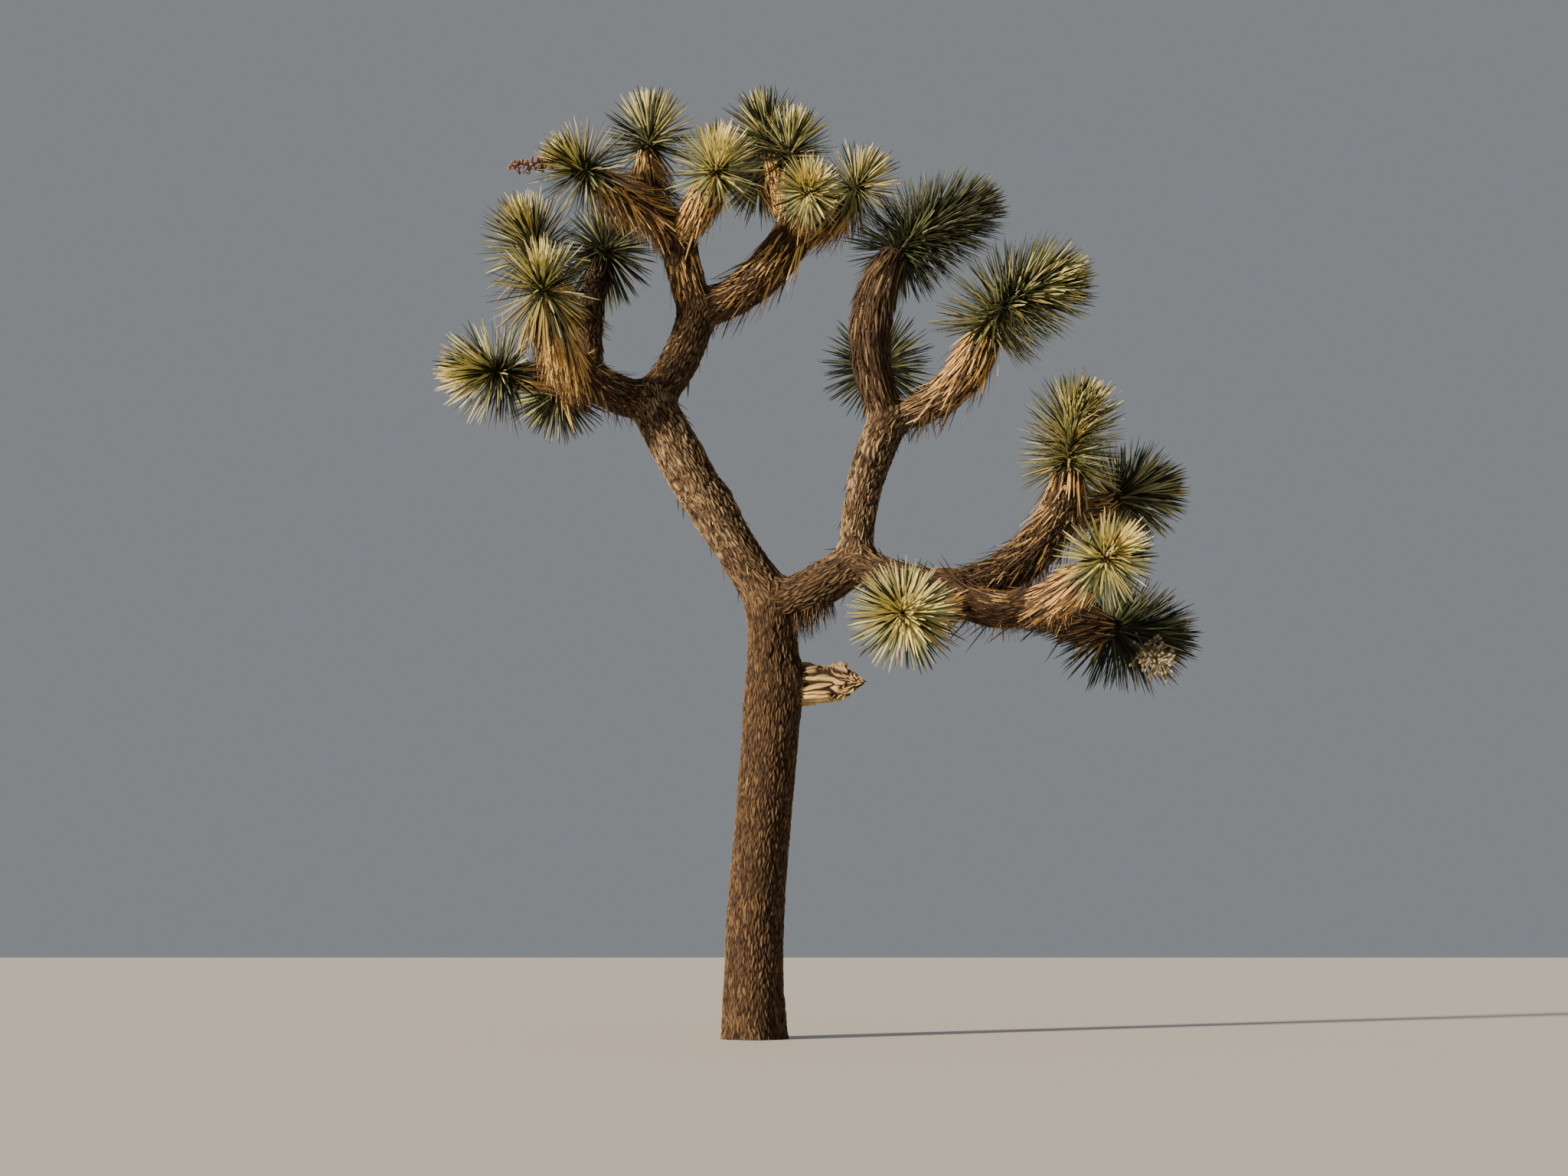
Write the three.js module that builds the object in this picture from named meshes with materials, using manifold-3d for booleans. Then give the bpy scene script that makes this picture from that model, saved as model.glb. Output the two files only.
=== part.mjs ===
// Joshua tree, about 5.3 m high and 4.1 m across, rooted in level ground.
// Millimetres. +X is to the right as the tree is seen, +Y is away from the viewer, +Z is up.
// The origin is the middle of the flat cut under the trunk.
//
// The trunk forks into two boughs, the boughs into arms and the arms into short stems.
// Each stem ends in one rosette: a thick leafy tip that dagger leaves stand out of all round.
import * as THREE from "three";
import { mergeVertices } from "three/addons/utils/BufferGeometryUtils.js";
import Module from "manifold-3d";

const wasm = await Module();
wasm.setup();

// Driving dimensions

// The clear gap where one solid meets the next.
const GAP = 0.3;

// Every limb starts on another limb, at a share of that limb's length, and runs in one bow to its tip.
// bow is how far its middle stands off the straight line, and girth its diameters at even steps.
// fringe is how many dead leaves stand clear of its thatch.
// A limb with knees bends twice, towards each knee in turn.
const BOUGHS = {
  trunk: {
    knees: [[-40, 0, 900], [136, 0, 1500]], tip: [82, 0, 2300],
    girth: [334, 312, 302, 296, 294, 296, 300, 302, 264, 266],
  },
  bough_left: {
    from: "trunk", tip: [-590, 300, 3470], bow: [-26, -10, 0], girth: [262, 224, 252, 262, 250],
  },
  arm_left: {
    from: "bough_left", tip: [-960, 70, 3595], bow: [-20, 30, -30], girth: [215, 208, 190], fringe: 4,
  },
  arm_left_riser: {
    from: "arm_left", at: 0.8, tip: [-925, 440, 4145], bow: [-20, 0, 10], girth: [134, 142, 132], fringe: 3,
  },
  bough_middle: {
    from: "bough_left", tip: [-335, 330, 4000], bow: [40, 10, 0], girth: [220, 214, 210],
  },
  arm_middle_left: {
    from: "bough_middle", tip: [-435, 230, 4390], bow: [-18, 10, 0], girth: [200, 198, 204],
  },
  arm_middle_right: {
    from: "bough_middle", tip: [210, 360, 4480], bow: [45, 20, -65], girth: [200, 226, 240], fringe: 4,
  },
  bough_right: {
    from: "trunk", at: 0.985, tip: [532, -120, 2495], bow: [10, 0, -24], girth: [250, 240, 218], fringe: 3,
  },
  bough_upper: {
    from: "bough_right", tip: [725, 60, 3310], bow: [-45, -20, 0], girth: [194, 184, 190, 208, 214],
  },
  bough_lower: {
    from: "bough_right", tip: [995, -370, 2310], bow: [-5, 0, -34], girth: [196, 188, 188],
  },
  arm_lower_riser: {
    from: "bough_lower", tip: [1665, 40, 2820], bow: [64, -40, -96], girth: [164, 200, 236, 216], fringe: 4,
  },
  arm_lower: {
    from: "bough_lower", tip: [1375, -460, 2190], bow: [-20, -20, -50], girth: [172, 188, 190], fringe: 4,
  },
};

// Each stem carries a rosette that bends on from the stem's tip towards aim.
// leafy is the length of its leafy tip, spread how far its longest leaves reach from the middle line,
// and count how many leaves it has. droop is the angle from the leafy tip of its lowest leaves.
const STEMS = {
  left_low: {
    from: "arm_left", tip: [-1315, -70, 3520], bow: [0, 10, -35], girth: [140, 150, 160], fringe: 3,
    aim: [-0.86, -0.5, -0.08], leafy: 240, spread: 300,
  },
  left_front: {
    from: "arm_left", tip: [-1100, -400, 3800], bow: [-10, -50, -60], girth: [132, 204, 236], fringe: 7,
    aim: [-0.1, -0.75, 0.65], leafy: 210, spread: 298, droop: 128,
  },
  left_top: {
    from: "arm_left_riser", at: 0.6, tip: [-1170, -20, 4160], bow: [-10, 20, -40], girth: [108, 122, 134],
    aim: [-0.4, -0.55, 0.73], leafy: 240, spread: 310,
  },
  left_rear: {
    from: "arm_left_riser", tip: [-918, 800, 4440], bow: [0, 10, -40], girth: [114, 124, 134],
    aim: [0.3, 0.6, 0.74], leafy: 230, spread: 308, droop: 138,
  },
  left_under: {
    from: "arm_left", at: 0.86, tip: [-1110, 620, 3610], bow: [20, 20, -30], girth: [114, 130, 138],
    aim: [-0.4, 0.9, -0.15], leafy: 220, spread: 282, droop: 138,
  },
  middle_west: {
    from: "arm_middle_left", tip: [-905, -60, 4655], bow: [10, 10, 10], girth: [140, 156, 166], fringe: 3,
    aim: [-0.8, -0.3, 0.52], leafy: 165, spread: 285,
    stalk: { aim: [-0.98, -0.1, -0.1], length: 330, along: 0.7 },
  },
  middle_top: {
    from: "arm_middle_left", tip: [-622, 330, 4940], bow: [-62, 10, -10], girth: [126, 124, 138], fringe: 3,
    aim: [0.1, 0.12, 0.98], leafy: 205, spread: 284,
  },
  middle_east: {
    from: "arm_middle_left", tip: [-235, -150, 4590], bow: [10, -20, -30], girth: [142, 184, 214],
    aim: [0.1, -0.72, 0.68], leafy: 180, spread: 262, fringe: 4,
  },
  crown_side: {
    from: "arm_middle_right", at: 0.96, tip: [185, 270, 4840], bow: [12, 0, 0], girth: [160, 164, 152],
    aim: [0.3, -0.15, 0.94], leafy: 190, spread: 262, fringe: 3,
  },
  crown_high: {
    from: "crown_side", at: 0.35, tip: [80, 450, 4970], bow: [-10, 10, -10], girth: [120, 126, 132],
    aim: [-0.25, -0.05, 0.97], leafy: 230, spread: 282,
  },
  crown_front: {
    from: "arm_middle_right", tip: [285, -60, 4530], bow: [10, 10, -20], girth: [140, 156, 172],
    aim: [0.02, -0.97, 0.22], leafy: 150, spread: 196,
  },
  crown_east: {
    from: "arm_middle_right", tip: [515, 330, 4650], bow: [25, 0, -35], girth: [140, 160, 178], fringe: 4,
    aim: [0.55, 0.1, 0.83], leafy: 200, spread: 272, droop: 132,
  },
  crown_rear: {
    from: "arm_middle_right", tip: [30, 840, 4950], bow: [30, 60, 0], girth: [116, 126, 138],
    aim: [-0.2, 0.86, 0.46], leafy: 220, spread: 270,
  },
  upper: {
    from: "bough_upper", tip: [765, 60, 4230], bow: [-130, -80, 10], girth: [176, 216, 232, 196], fringe: 7,
    aim: [0.9, 0.1, 0.42], leafy: 560, spread: 305, count: 44, droop: 108,
  },
  upper_rear: {
    from: "bough_upper", at: 0.9, tip: [695, 660, 3720], bow: [-10, 50, -60], girth: [124, 136, 146],
    aim: [0.05, 0.8, 0.6], leafy: 240, spread: 325,
  },
  upper_outer: {
    from: "bough_upper", tip: [1240, -160, 3730], bow: [70, 0, -85], girth: [152, 184, 236, 200], fringe: 6,
    aim: [0.8, -0.6, 0.08], leafy: 560, spread: 315, count: 40, droop: 110,
  },
  riser_top: {
    from: "arm_lower_riser", tip: [1700, 60, 3010], bow: [6, 0, 0], girth: [214, 210, 200], fringe: 3,
    aim: [0.2, -0.93, 0.3], elbow: 0.6, leafy: 460, spread: 285, count: 40,
  },
  riser_east: {
    from: "arm_lower_riser", at: 0.94, tip: [1985, 460, 2930], bow: [10, 10, -40], girth: [132, 142, 152],
    aim: [0.86, 0.4, 0.2], leafy: 345, spread: 300, count: 32, fringe: 3,
  },
  lower_front: {
    from: "arm_lower", tip: [1725, -780, 2345], bow: [40, 0, -20], girth: [158, 196, 184], fringe: 4,
    aim: [0.22, -0.94, 0.22], leafy: 190, spread: 246,
  },
  lower_east: {
    from: "arm_lower", tip: [1868, -60, 2138], bow: [20, -10, -10], girth: [146, 158, 164], fringe: 5,
    aim: [0.92, 0.36, -0.06], leafy: 360, spread: 314, count: 34,
    stalk: { aim: [0.55, -0.63, -0.55], length: 400, along: 0.1 },
  },
  lower_near: {
    from: "arm_lower", at: 0.35, tip: [755, -850, 2090], bow: [-60, 20, -25], girth: [140, 154, 166],
    aim: [-0.1, -0.99, -0.04], leafy: 220, spread: 278, fringe: 3,
  },
};
const LEAF_COUNT = 26;
const LEAF_DROOP = 116;
// The angle of its highest leaves, how soon the leaves rise towards it, and how far each strays.
const LEAF_UPRIGHT = 12;
const LEAF_RISE = 1.15;
const LEAF_STRAY = 0.09;
// The share of the leafy tip that still follows the stem's line, before it bends, unless the stem has its own.
const ELBOW_SHARE = 0.35;

// A leaf is a dagger with three edges, wider than life because each stands for several.
// It comes from a point sunk in what bears it and is widest at LEAF_BELLY of its length.
const LEAF_WIDTH = 46;
const LEAF_THICKNESS = 16;
const LEAF_BELLY = 0.4;
const LEAF_ROOT_SUNK = 50;
const CORE_RADIUS = 80;
const CORE_BELLY = 0.45;
const HEART_DEPTH = 0.42;
// The core's width where it leaves its stem, and the depth that leaves stand in its skin, as shares.
const CORE_FOOT = 0.9;
const SKIN_SHARE = 0.85;
const CORE_SIDES = 6;
const CORE_STEPS = 3;
// The least room between the leaves of two rosettes, and between a leaf and a limb, at their middle lines.
const ROOM_BETWEEN_LEAVES = 34;
const ROOM_BESIDE_LIMB = 24;

const TRUNK_SIDES = 12;
const BOUGH_SIDES = 10;
const STEM_SIDES = 8;
const STEP_LENGTH = 210;

// The stub is what is left of a broken limb: bare, weathered wood with a jagged end.
// It stands on the trunk at a share of the trunk's length.
const STUB = {
  at: 0.802, tip: [612, -60, 1850], girth: [250, 216, 200, 172, 100],
  flatness: 0.82, jag: 110, sides: 11,
};

const BARK = new THREE.MeshStandardMaterial({ color: 0x5d4a38, roughness: 0.95, metalness: 0 });
const THATCH = new THREE.MeshStandardMaterial({ color: 0xa07c4c, roughness: 0.9, metalness: 0 });
const DEAD_WOOD = new THREE.MeshStandardMaterial({ color: 0x9b8262, roughness: 0.9, metalness: 0 });
const LEAVES = new THREE.MeshStandardMaterial({ color: 0x7d8450, roughness: 0.6, metalness: 0 });

const { lerp, degToRad } = THREE.MathUtils;
const GOLDEN_ANGLE = Math.PI * (3 - Math.sqrt(5));

// A small random generator, so that the tree is the same tree each time.
function seeded(seed) {
  let state = seed;
  return (low = 0, high = 1) => {
    state = (state + 0x6d2b79f5) | 0;
    let mixed = Math.imul(state ^ (state >>> 15), 1 | state);
    mixed = (mixed + Math.imul(mixed ^ (mixed >>> 7), 61 | mixed)) ^ mixed;
    return lerp(low, high, ((mixed ^ (mixed >>> 14)) >>> 0) / 2 ** 32);
  };
}

// Solids

function solidOf(geometry) {
  const bare = geometry.clone();
  for (const name of Object.keys(bare.attributes)) {
    if (name !== "position") bare.deleteAttribute(name);
  }
  const merged = mergeVertices(bare, 1e-3);
  return new wasm.Manifold(
    new wasm.Mesh({
      numProp: 3,
      vertProperties: new Float32Array(merged.attributes.position.array),
      triVerts: new Uint32Array(merged.index.array),
    }),
  );
}

// The largest body of a solid: a cut can leave loose scraps, which are dropped.
function largestBody(solid) {
  return solid.decompose().reduce((best, body) => (body.volume() > best.volume() ? body : best));
}

// A named mesh whose own origin is at foot.
function meshOf(name, solid, foot, material) {
  const { vertProperties, triVerts, numProp } = solid.getMesh();
  const geometry = new THREE.BufferGeometry();
  geometry.setAttribute("position", new THREE.BufferAttribute(new Float32Array(vertProperties), numProp));
  geometry.setIndex(new THREE.BufferAttribute(new Uint32Array(triVerts), 1));
  geometry.translate(-foot.x, -foot.y, -foot.z);
  geometry.computeVertexNormals();
  const mesh = new THREE.Mesh(geometry, material);
  mesh.name = name;
  mesh.position.copy(foot);
  return mesh;
}

// Limbs

// The diameter at share t of a limb's length, from its diameters at even steps.
function girthAt(girth, t) {
  const place = t * (girth.length - 1);
  const step = Math.min(Math.floor(place), girth.length - 2);
  return lerp(girth[step], girth[step + 1], place - step);
}

// The rings of a domed start, as the angles in degrees up from the start's plane.
const DOME = [64, 32];

// A round bar along a curve, with a flat or a domed start. grow makes it larger all round,
// and a level start lies flat on the ground.
function barAlong(curve, radiusAt, sides, steps, { domed = false, level = false, grow = 0 } = {}) {
  const dome = domed ? DOME : [];
  const rows = steps + dome.length;
  const bar = new THREE.CylinderGeometry(1, 1, 1, sides, rows);
  const { tangents, normals, binormals } = curve.computeFrenetFrames(steps);
  const place = bar.attributes.position;
  for (let i = 0; i < place.count; i++) {
    const row = Math.round((place.getY(i) + 0.5) * rows);
    const step = Math.max(0, row - dome.length);
    const share = step / steps;
    const full = radiusAt(share) + grow;
    const rise = row < dome.length ? degToRad(dome[row]) : 0;
    const radius = full * Math.cos(rise);
    let past = -full * Math.sin(rise);
    if (row === 0 && !domed) past = -grow;
    if (row === rows) past = grow;
    const point = curve
      .getPointAt(share)
      .addScaledVector(tangents[step], past)
      .addScaledVector(normals[step], place.getX(i) * radius)
      .addScaledVector(binormals[step], -place.getZ(i) * radius);
    if (row === 0 && level) point.z = -grow;
    place.setXYZ(i, point.x, point.y, point.z);
  }
  return solidOf(bar);
}

function bowed(start, tip, bow) {
  const control = start.clone().add(tip).multiplyScalar(0.5).addScaledVector(bow, 2);
  return new THREE.QuadraticBezierCurve3(start, control, tip);
}

// Short pieces of a bar's middle line with the radius there, for finding what is near the bar.
function spineOf(curve, radiusAt, steps) {
  const points = curve.getSpacedPoints(steps);
  return points.slice(1).map((point, i) => ({
    line: new THREE.Line3(points[i], point),
    radius: radiusAt((i + 0.5) / steps),
    last: i === steps - 1,
  }));
}

function limbFrom(size, parent) {
  const start = parent ? parent.curve.getPointAt(size.at ?? 1) : new THREE.Vector3();
  const tip = new THREE.Vector3(...size.tip);
  const curve = size.knees
    ? new THREE.CubicBezierCurve3(start, ...size.knees.map((knee) => new THREE.Vector3(...knee)), tip)
    : bowed(start, tip, new THREE.Vector3(...size.bow));
  const steps = Math.max(3, Math.round(curve.getLength() / STEP_LENGTH));
  const radiusAt = (t) => girthAt(size.girth, t) / 2;
  return { ...size, start, curve, steps, radiusAt };
}

// A limb's start is domed, which rounds the elbow where it leaves its parent, and the trunk's is level.
function limbSolid(limb, sides, grow = 0) {
  const branch = Boolean(limb.from);
  return barAlong(limb.curve, limb.radiusAt, sides, limb.steps, { domed: branch, level: !branch, grow });
}

// True where a point lies in or close beside a bar. What lies past the bar's tip is free.
function isBeside(point, spine, room) {
  const near = new THREE.Vector3();
  return spine.some(({ line, radius, last }) => {
    const share = line.closestPointToPointParameter(point, true);
    if (last && share === 1) return false;
    return line.at(share, near).distanceTo(point) < radius + room;
  });
}

// Leaves

// The unit vector at an angle from the unit vector from, turned towards the one square to it.
function turned(from, square, angle) {
  return from.clone().multiplyScalar(Math.cos(angle)).addScaledVector(square, Math.sin(angle));
}

// One dagger leaf: a long three-edged point from root along direction, with its keel facing down the stem.
function leafSolid(root, direction, down, length, width, thickness) {
  const profile = [new THREE.Vector2(0, 0), new THREE.Vector2(1, LEAF_BELLY), new THREE.Vector2(0, 1)];
  const leaf = new THREE.LatheGeometry(profile, 3);
  leaf.scale(width / Math.sqrt(3), length, thickness / 1.5);
  const side = new THREE.Vector3().crossVectors(direction, down).normalize();
  const keel = new THREE.Vector3().crossVectors(side, direction);
  leaf.applyMatrix4(new THREE.Matrix4().makeBasis(side, direction, keel).setPosition(root));
  return solidOf(leaf);
}

// The bars and the leaves that stand so far, each with the node it belongs to.
const bars = [];
const blades = [];

// True where a leaf of this node would touch no bar and cross no leaf of another node.
function isFree(line, owner) {
  const samples = Math.ceil(line.distance() / ROOM_BETWEEN_LEAVES);
  const otherBars = bars.filter((bar) => bar.owner !== owner);
  const otherBlades = blades.filter((blade) => blade.owner !== owner);
  const point = new THREE.Vector3();
  const near = new THREE.Vector3();
  for (let i = 0; i <= samples; i++) {
    line.at(i / samples, point);
    if (otherBars.some(({ spine }) => isBeside(point, spine, ROOM_BESIDE_LIMB))) return false;
    for (const blade of otherBlades) {
      blade.line.closestPointToPoint(point, true, near);
      if (near.distanceTo(point) < ROOM_BETWEEN_LEAVES) return false;
    }
  }
  return true;
}

// A leaf is tried at its full length and then shorter, and left out where even that has no room.
function leafWithRoom(owner, skin, direction, down, length) {
  for (const share of [1, 0.8, 0.6]) {
    const line = new THREE.Line3(skin, skin.clone().addScaledVector(direction, length * share));
    if (isFree(line, owner)) {
      blades.push({ owner, line });
      const root = skin.clone().addScaledVector(direction, -LEAF_ROOT_SUNK);
      return leafSolid(root, direction, down, length * share + LEAF_ROOT_SUNK, LEAF_WIDTH, LEAF_THICKNESS);
    }
  }
  return null;
}

// The leafy tip leaves its stem along the stem's own line and bends towards aim.
function leafyTip(limb) {
  const tangent = limb.curve.getTangentAt(1);
  const aim = new THREE.Vector3(...limb.aim).normalize();
  const foot = limb.curve.getPointAt(1).addScaledVector(tangent, GAP);
  const straight = limb.elbow ?? ELBOW_SHARE;
  const elbow = foot.clone().addScaledVector(tangent, limb.leafy * straight);
  const end = elbow.clone().addScaledVector(aim, limb.leafy * (1 - straight));
  return new THREE.QuadraticBezierCurve3(foot, elbow, end);
}

// The core swells from its stem's width to its belly and closes in a dome from there on.
function coreRadiusAt(limb, t) {
  const foot = Math.min(CORE_RADIUS, limb.radiusAt(1)) * CORE_FOOT;
  if (t < CORE_BELLY) return lerp(foot, CORE_RADIUS, t / CORE_BELLY);
  const past = (t - CORE_BELLY) / (1 - CORE_BELLY);
  return CORE_RADIUS * Math.sqrt(1 - past * past * 0.9);
}

// An old flower stalk: a thin bar with short twigs all round its outer half.
const STALK = { foot: 9, end: 5, sag: 0.05, twigs: 7, first: 0.52, last: 0.96, twigWidth: 12 };

function flowerStalk(limb, tipCurve, random) {
  const { length, along } = limb.stalk;
  const start = tipCurve.getPointAt(along);
  const aim = new THREE.Vector3(...limb.stalk.aim).normalize();
  const sag = new THREE.Vector3(0, 0, length * STALK.sag);
  const curve = bowed(start, start.clone().addScaledVector(aim, length), sag);
  const parts = [barAlong(curve, (t) => lerp(STALK.foot, STALK.end, t), 4, 3)];
  for (let i = 0; i < STALK.twigs; i++) {
    const share = lerp(STALK.first, STALK.last, i / (STALK.twigs - 1));
    const out = new THREE.Vector3(random(-1, 1), random(-1, 1), random(-1, 1));
    out.addScaledVector(aim, 0.8).normalize();
    const down = aim.clone().negate();
    const twig = STALK.twigWidth;
    parts.push(leafSolid(curve.getPointAt(share), out, down, random(60, 90), twig, twig * 0.75));
  }
  return parts;
}

// Leaves stand round the leafy tip by the golden angle, upright at its end and drooping at its foot.
function rosetteSolid(name, limb, random) {
  const tipCurve = leafyTip(limb);
  const reach = tipCurve.getLength();
  // The leaves past the heart all end on a ball round it.
  const heart = reach - limb.spread * HEART_DEPTH;
  const count = limb.count ?? LEAF_COUNT;
  const droop = degToRad(limb.droop ?? LEAF_DROOP);
  const { tangents, normals, binormals } = tipCurve.computeFrenetFrames(count);
  const parts = [barAlong(tipCurve, (t) => coreRadiusAt(limb, t), CORE_SIDES, CORE_STEPS)];
  for (let i = 0; i < count; i++) {
    const order = (i + 0.5) / count;
    const out = turned(normals[i], binormals[i], i * GOLDEN_ANGLE);
    const rise = lerp(droop, degToRad(LEAF_UPRIGHT), order ** LEAF_RISE);
    const tilt = rise + random(-LEAF_STRAY, LEAF_STRAY);
    const direction = turned(tangents[i], out, tilt);
    // A drooping leaf starts far enough up the tip to pass over the rim of its stem.
    const overRim = Math.max(0, (limb.radiusAt(1) - CORE_RADIUS * 0.8) / -Math.tan(Math.max(tilt, 1.6)));
    const share = Math.max(order, (overRim + ROOM_BESIDE_LIMB) / reach);
    const skinRadius = coreRadiusAt(limb, share) * SKIN_SHARE;
    const skin = tipCurve.getPointAt(share).addScaledVector(out, skinRadius);
    const pastHeart = Math.max(0, share * reach - heart);
    const spread = limb.spread * random(0.9, 1.05);
    const length = spread - skinRadius * Math.sin(tilt) - pastHeart * Math.cos(tilt);
    parts.push(leafWithRoom(name, skin, direction, tangents[i].clone().negate(), length));
  }
  if (limb.stalk) parts.push(...flowerStalk(limb, tipCurve, random));
  return largestBody(wasm.Manifold.union(parts.filter(Boolean)));
}

// Dead leaves that stand off a limb's thatch, pointing back along it and hanging a little.
const DEAD_LEAF = { length: 150, sunk: 30, tilt: 148, hang: 0.35, first: 0.3, last: 0.94 };

function fringeParts(name, limb, random) {
  const parts = [];
  const count = limb.fringe ?? 0;
  const { tangents, normals, binormals } = limb.curve.computeFrenetFrames(count || 1);
  for (let i = 0; i < count; i++) {
    const share = lerp(DEAD_LEAF.first, DEAD_LEAF.last, (i + 0.5) / count);
    const out = turned(normals[i], binormals[i], i * GOLDEN_ANGLE + random(0, 0.6));
    const direction = turned(tangents[i], out, degToRad(DEAD_LEAF.tilt + random(-10, 8)));
    direction.z -= DEAD_LEAF.hang;
    direction.normalize();
    const skin = limb.curve.getPointAt(share).addScaledVector(out, limb.radiusAt(share));
    const line = new THREE.Line3(skin, skin.clone().addScaledVector(direction, DEAD_LEAF.length));
    if (direction.dot(out) < 0.15 || !isFree(line, name)) continue;
    blades.push({ owner: name, line });
    const root = skin.clone().addScaledVector(out, -DEAD_LEAF.sunk);
    parts.push(leafSolid(root, direction, tangents[i], DEAD_LEAF.length, LEAF_WIDTH, LEAF_THICKNESS));
  }
  return parts;
}

// The broken limb on the trunk, with each corner of its end broken off at another length.
function stubSolid(start, random) {
  const curve = new THREE.LineCurve3(start, new THREE.Vector3(...STUB.tip));
  const bar = new THREE.CylinderGeometry(1, 1, 1, STUB.sides, STUB.girth.length - 1);
  const place = bar.attributes.position;
  const jags = Array.from({ length: STUB.sides }, () => random(-STUB.jag, STUB.jag * 0.2));
  const along = curve.getTangentAt(0);
  const across = new THREE.Vector3().crossVectors(along, new THREE.Vector3(0, 0, 1)).normalize();
  const up = new THREE.Vector3().crossVectors(across, along);
  for (let i = 0; i < place.count; i++) {
    const share = place.getY(i) + 0.5;
    const radius = girthAt(STUB.girth, share) / 2;
    const turn = Math.atan2(place.getX(i), place.getZ(i));
    const corner = Math.round((turn / (2 * Math.PI) + 1) * STUB.sides) % STUB.sides;
    const onRim = Math.hypot(place.getX(i), place.getZ(i)) > 0.5;
    const jag = share > 0.99 && onRim ? jags[corner] : 0;
    const point = curve
      .getPointAt(share)
      .addScaledVector(along, jag)
      .addScaledVector(across, place.getX(i) * radius * STUB.flatness)
      .addScaledVector(up, place.getZ(i) * radius);
    place.setXYZ(i, point.x, point.y, point.z);
  }
  return solidOf(bar);
}

// Assembly

const tree = new THREE.Group();
tree.name = "joshua_tree";

const limbs = {};
for (const [name, size] of [...Object.entries(BOUGHS), ...Object.entries(STEMS)]) {
  const limb = limbFrom(size, limbs[size.from]);
  limbs[name] = limb;
  bars.push({ owner: name, spine: spineOf(limb.curve, limb.radiusAt, limb.steps * 2) });
}
for (const name of Object.keys(STEMS)) {
  const limb = limbs[name];
  bars.push({ owner: `leaves_${name}`, spine: spineOf(leafyTip(limb), (t) => coreRadiusAt(limb, t), 6) });
}

function sidesOf(name) {
  if (name === "trunk") return TRUNK_SIDES;
  return name in BOUGHS ? BOUGH_SIDES : STEM_SIDES;
}

// Each limb is cut clear of the limbs made before it, so that a fork is parted once.
const grown = [];
for (const [name, limb] of Object.entries(limbs)) {
  const sides = sidesOf(name);
  const parts = [limbSolid(limb, sides), ...fringeParts(name, limb, seeded(900 + grown.length))];
  let solid = wasm.Manifold.union(parts);
  for (const earlier of grown) solid = solid.subtract(earlier);
  grown.push(limbSolid(limb, sides, GAP));
  const thatched = name in STEMS;
  const nodeName = thatched ? `stem_${name}` : name;
  tree.add(meshOf(nodeName, largestBody(solid), limb.start, thatched ? THATCH : BARK));
}

const stubFoot = limbs.trunk.curve.getPointAt(STUB.at);
const stub = stubSolid(stubFoot, seeded(41)).subtract(grown[0]);
tree.add(meshOf("dead_stub", largestBody(stub), stubFoot, DEAD_WOOD));

Object.keys(STEMS).forEach((name, i) => {
  const limb = limbs[name];
  const rosette = rosetteSolid(`leaves_${name}`, limb, seeded(100 + i));
  tree.add(meshOf(`leaves_${name}`, rosette, limb.curve.getPointAt(1), LEAVES));
});

export default tree;
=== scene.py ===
"""The looks of a joshua tree that is rooted in level ground.

Metres, with +X to the right as the tree is seen, +Y away from the viewer and +Z up, and the origin in the
middle of the flat cut under the trunk. The tree forks into boughs, arms and short stems. Bark with its
relief covers the trunk and boughs, dead leaves clad the stems, and each stem ends in one rosette of dagger
leaves.
"""

from __future__ import annotations

import logging
import math
from dataclasses import dataclass, field
from enum import Enum
from functools import partial
from typing import Any

import bpy
import numpy as np
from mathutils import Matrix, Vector


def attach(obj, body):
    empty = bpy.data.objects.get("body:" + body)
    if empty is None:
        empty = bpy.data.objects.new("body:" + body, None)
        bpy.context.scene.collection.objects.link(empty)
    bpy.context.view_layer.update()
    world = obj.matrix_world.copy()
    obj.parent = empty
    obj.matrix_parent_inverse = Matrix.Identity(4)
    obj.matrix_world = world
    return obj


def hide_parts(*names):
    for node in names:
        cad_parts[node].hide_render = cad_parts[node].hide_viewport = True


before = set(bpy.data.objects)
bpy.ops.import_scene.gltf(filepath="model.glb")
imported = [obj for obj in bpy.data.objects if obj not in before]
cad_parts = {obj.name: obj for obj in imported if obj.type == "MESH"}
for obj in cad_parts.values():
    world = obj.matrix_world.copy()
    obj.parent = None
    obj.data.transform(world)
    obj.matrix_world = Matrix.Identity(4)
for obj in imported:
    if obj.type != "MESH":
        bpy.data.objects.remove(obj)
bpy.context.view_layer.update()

Array = np.ndarray
Pair = tuple[float, float]
Triple = tuple[float, float, float]

log = logging.getLogger("joshua_tree")

BODY = "root"
GOLDEN_ANGLE = math.pi * (3 - math.sqrt(5))
UP = np.array((0.0, 0.0, 1.0))


class Slot(Enum):
    """The record's material slots."""

    BARK = "bark"
    THATCH = "thatch"
    DEAD_WOOD = "dead_wood"
    LEAVES = "leaves"


# Vectors and noise


def unit(vectors: Array) -> Array:
    """Vectors of the same directions and of length one."""
    return vectors / np.maximum(np.linalg.norm(vectors, axis=-1, keepdims=True), 1e-12)


def turned(start: Array, square: Array, angle: Array) -> Array:
    """Turn unit vectors towards the unit vectors square to them.

    Args:
        start: Unit vectors, one a row.
        square: Unit vectors at right angles to them.
        angle: The turn in radians, one for each row.

    Returns:
        start times the cosine of the angle plus square times its sine.
    """
    angle = np.asarray(angle)[..., None]
    return start * np.cos(angle) + square * np.sin(angle)


def smooth_step(value: Array) -> Array:
    """Zero below 0 and one above 1, with a curve of three v squared less two v cubed between."""
    value = np.clip(value, 0, 1)
    return value * value * (3 - 2 * value)


# Large odd numbers that spread the bits of a pair of whole numbers.
MIXERS = (374761393, 668265263, 2246822519, 1274126177, 2654435761)


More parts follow.
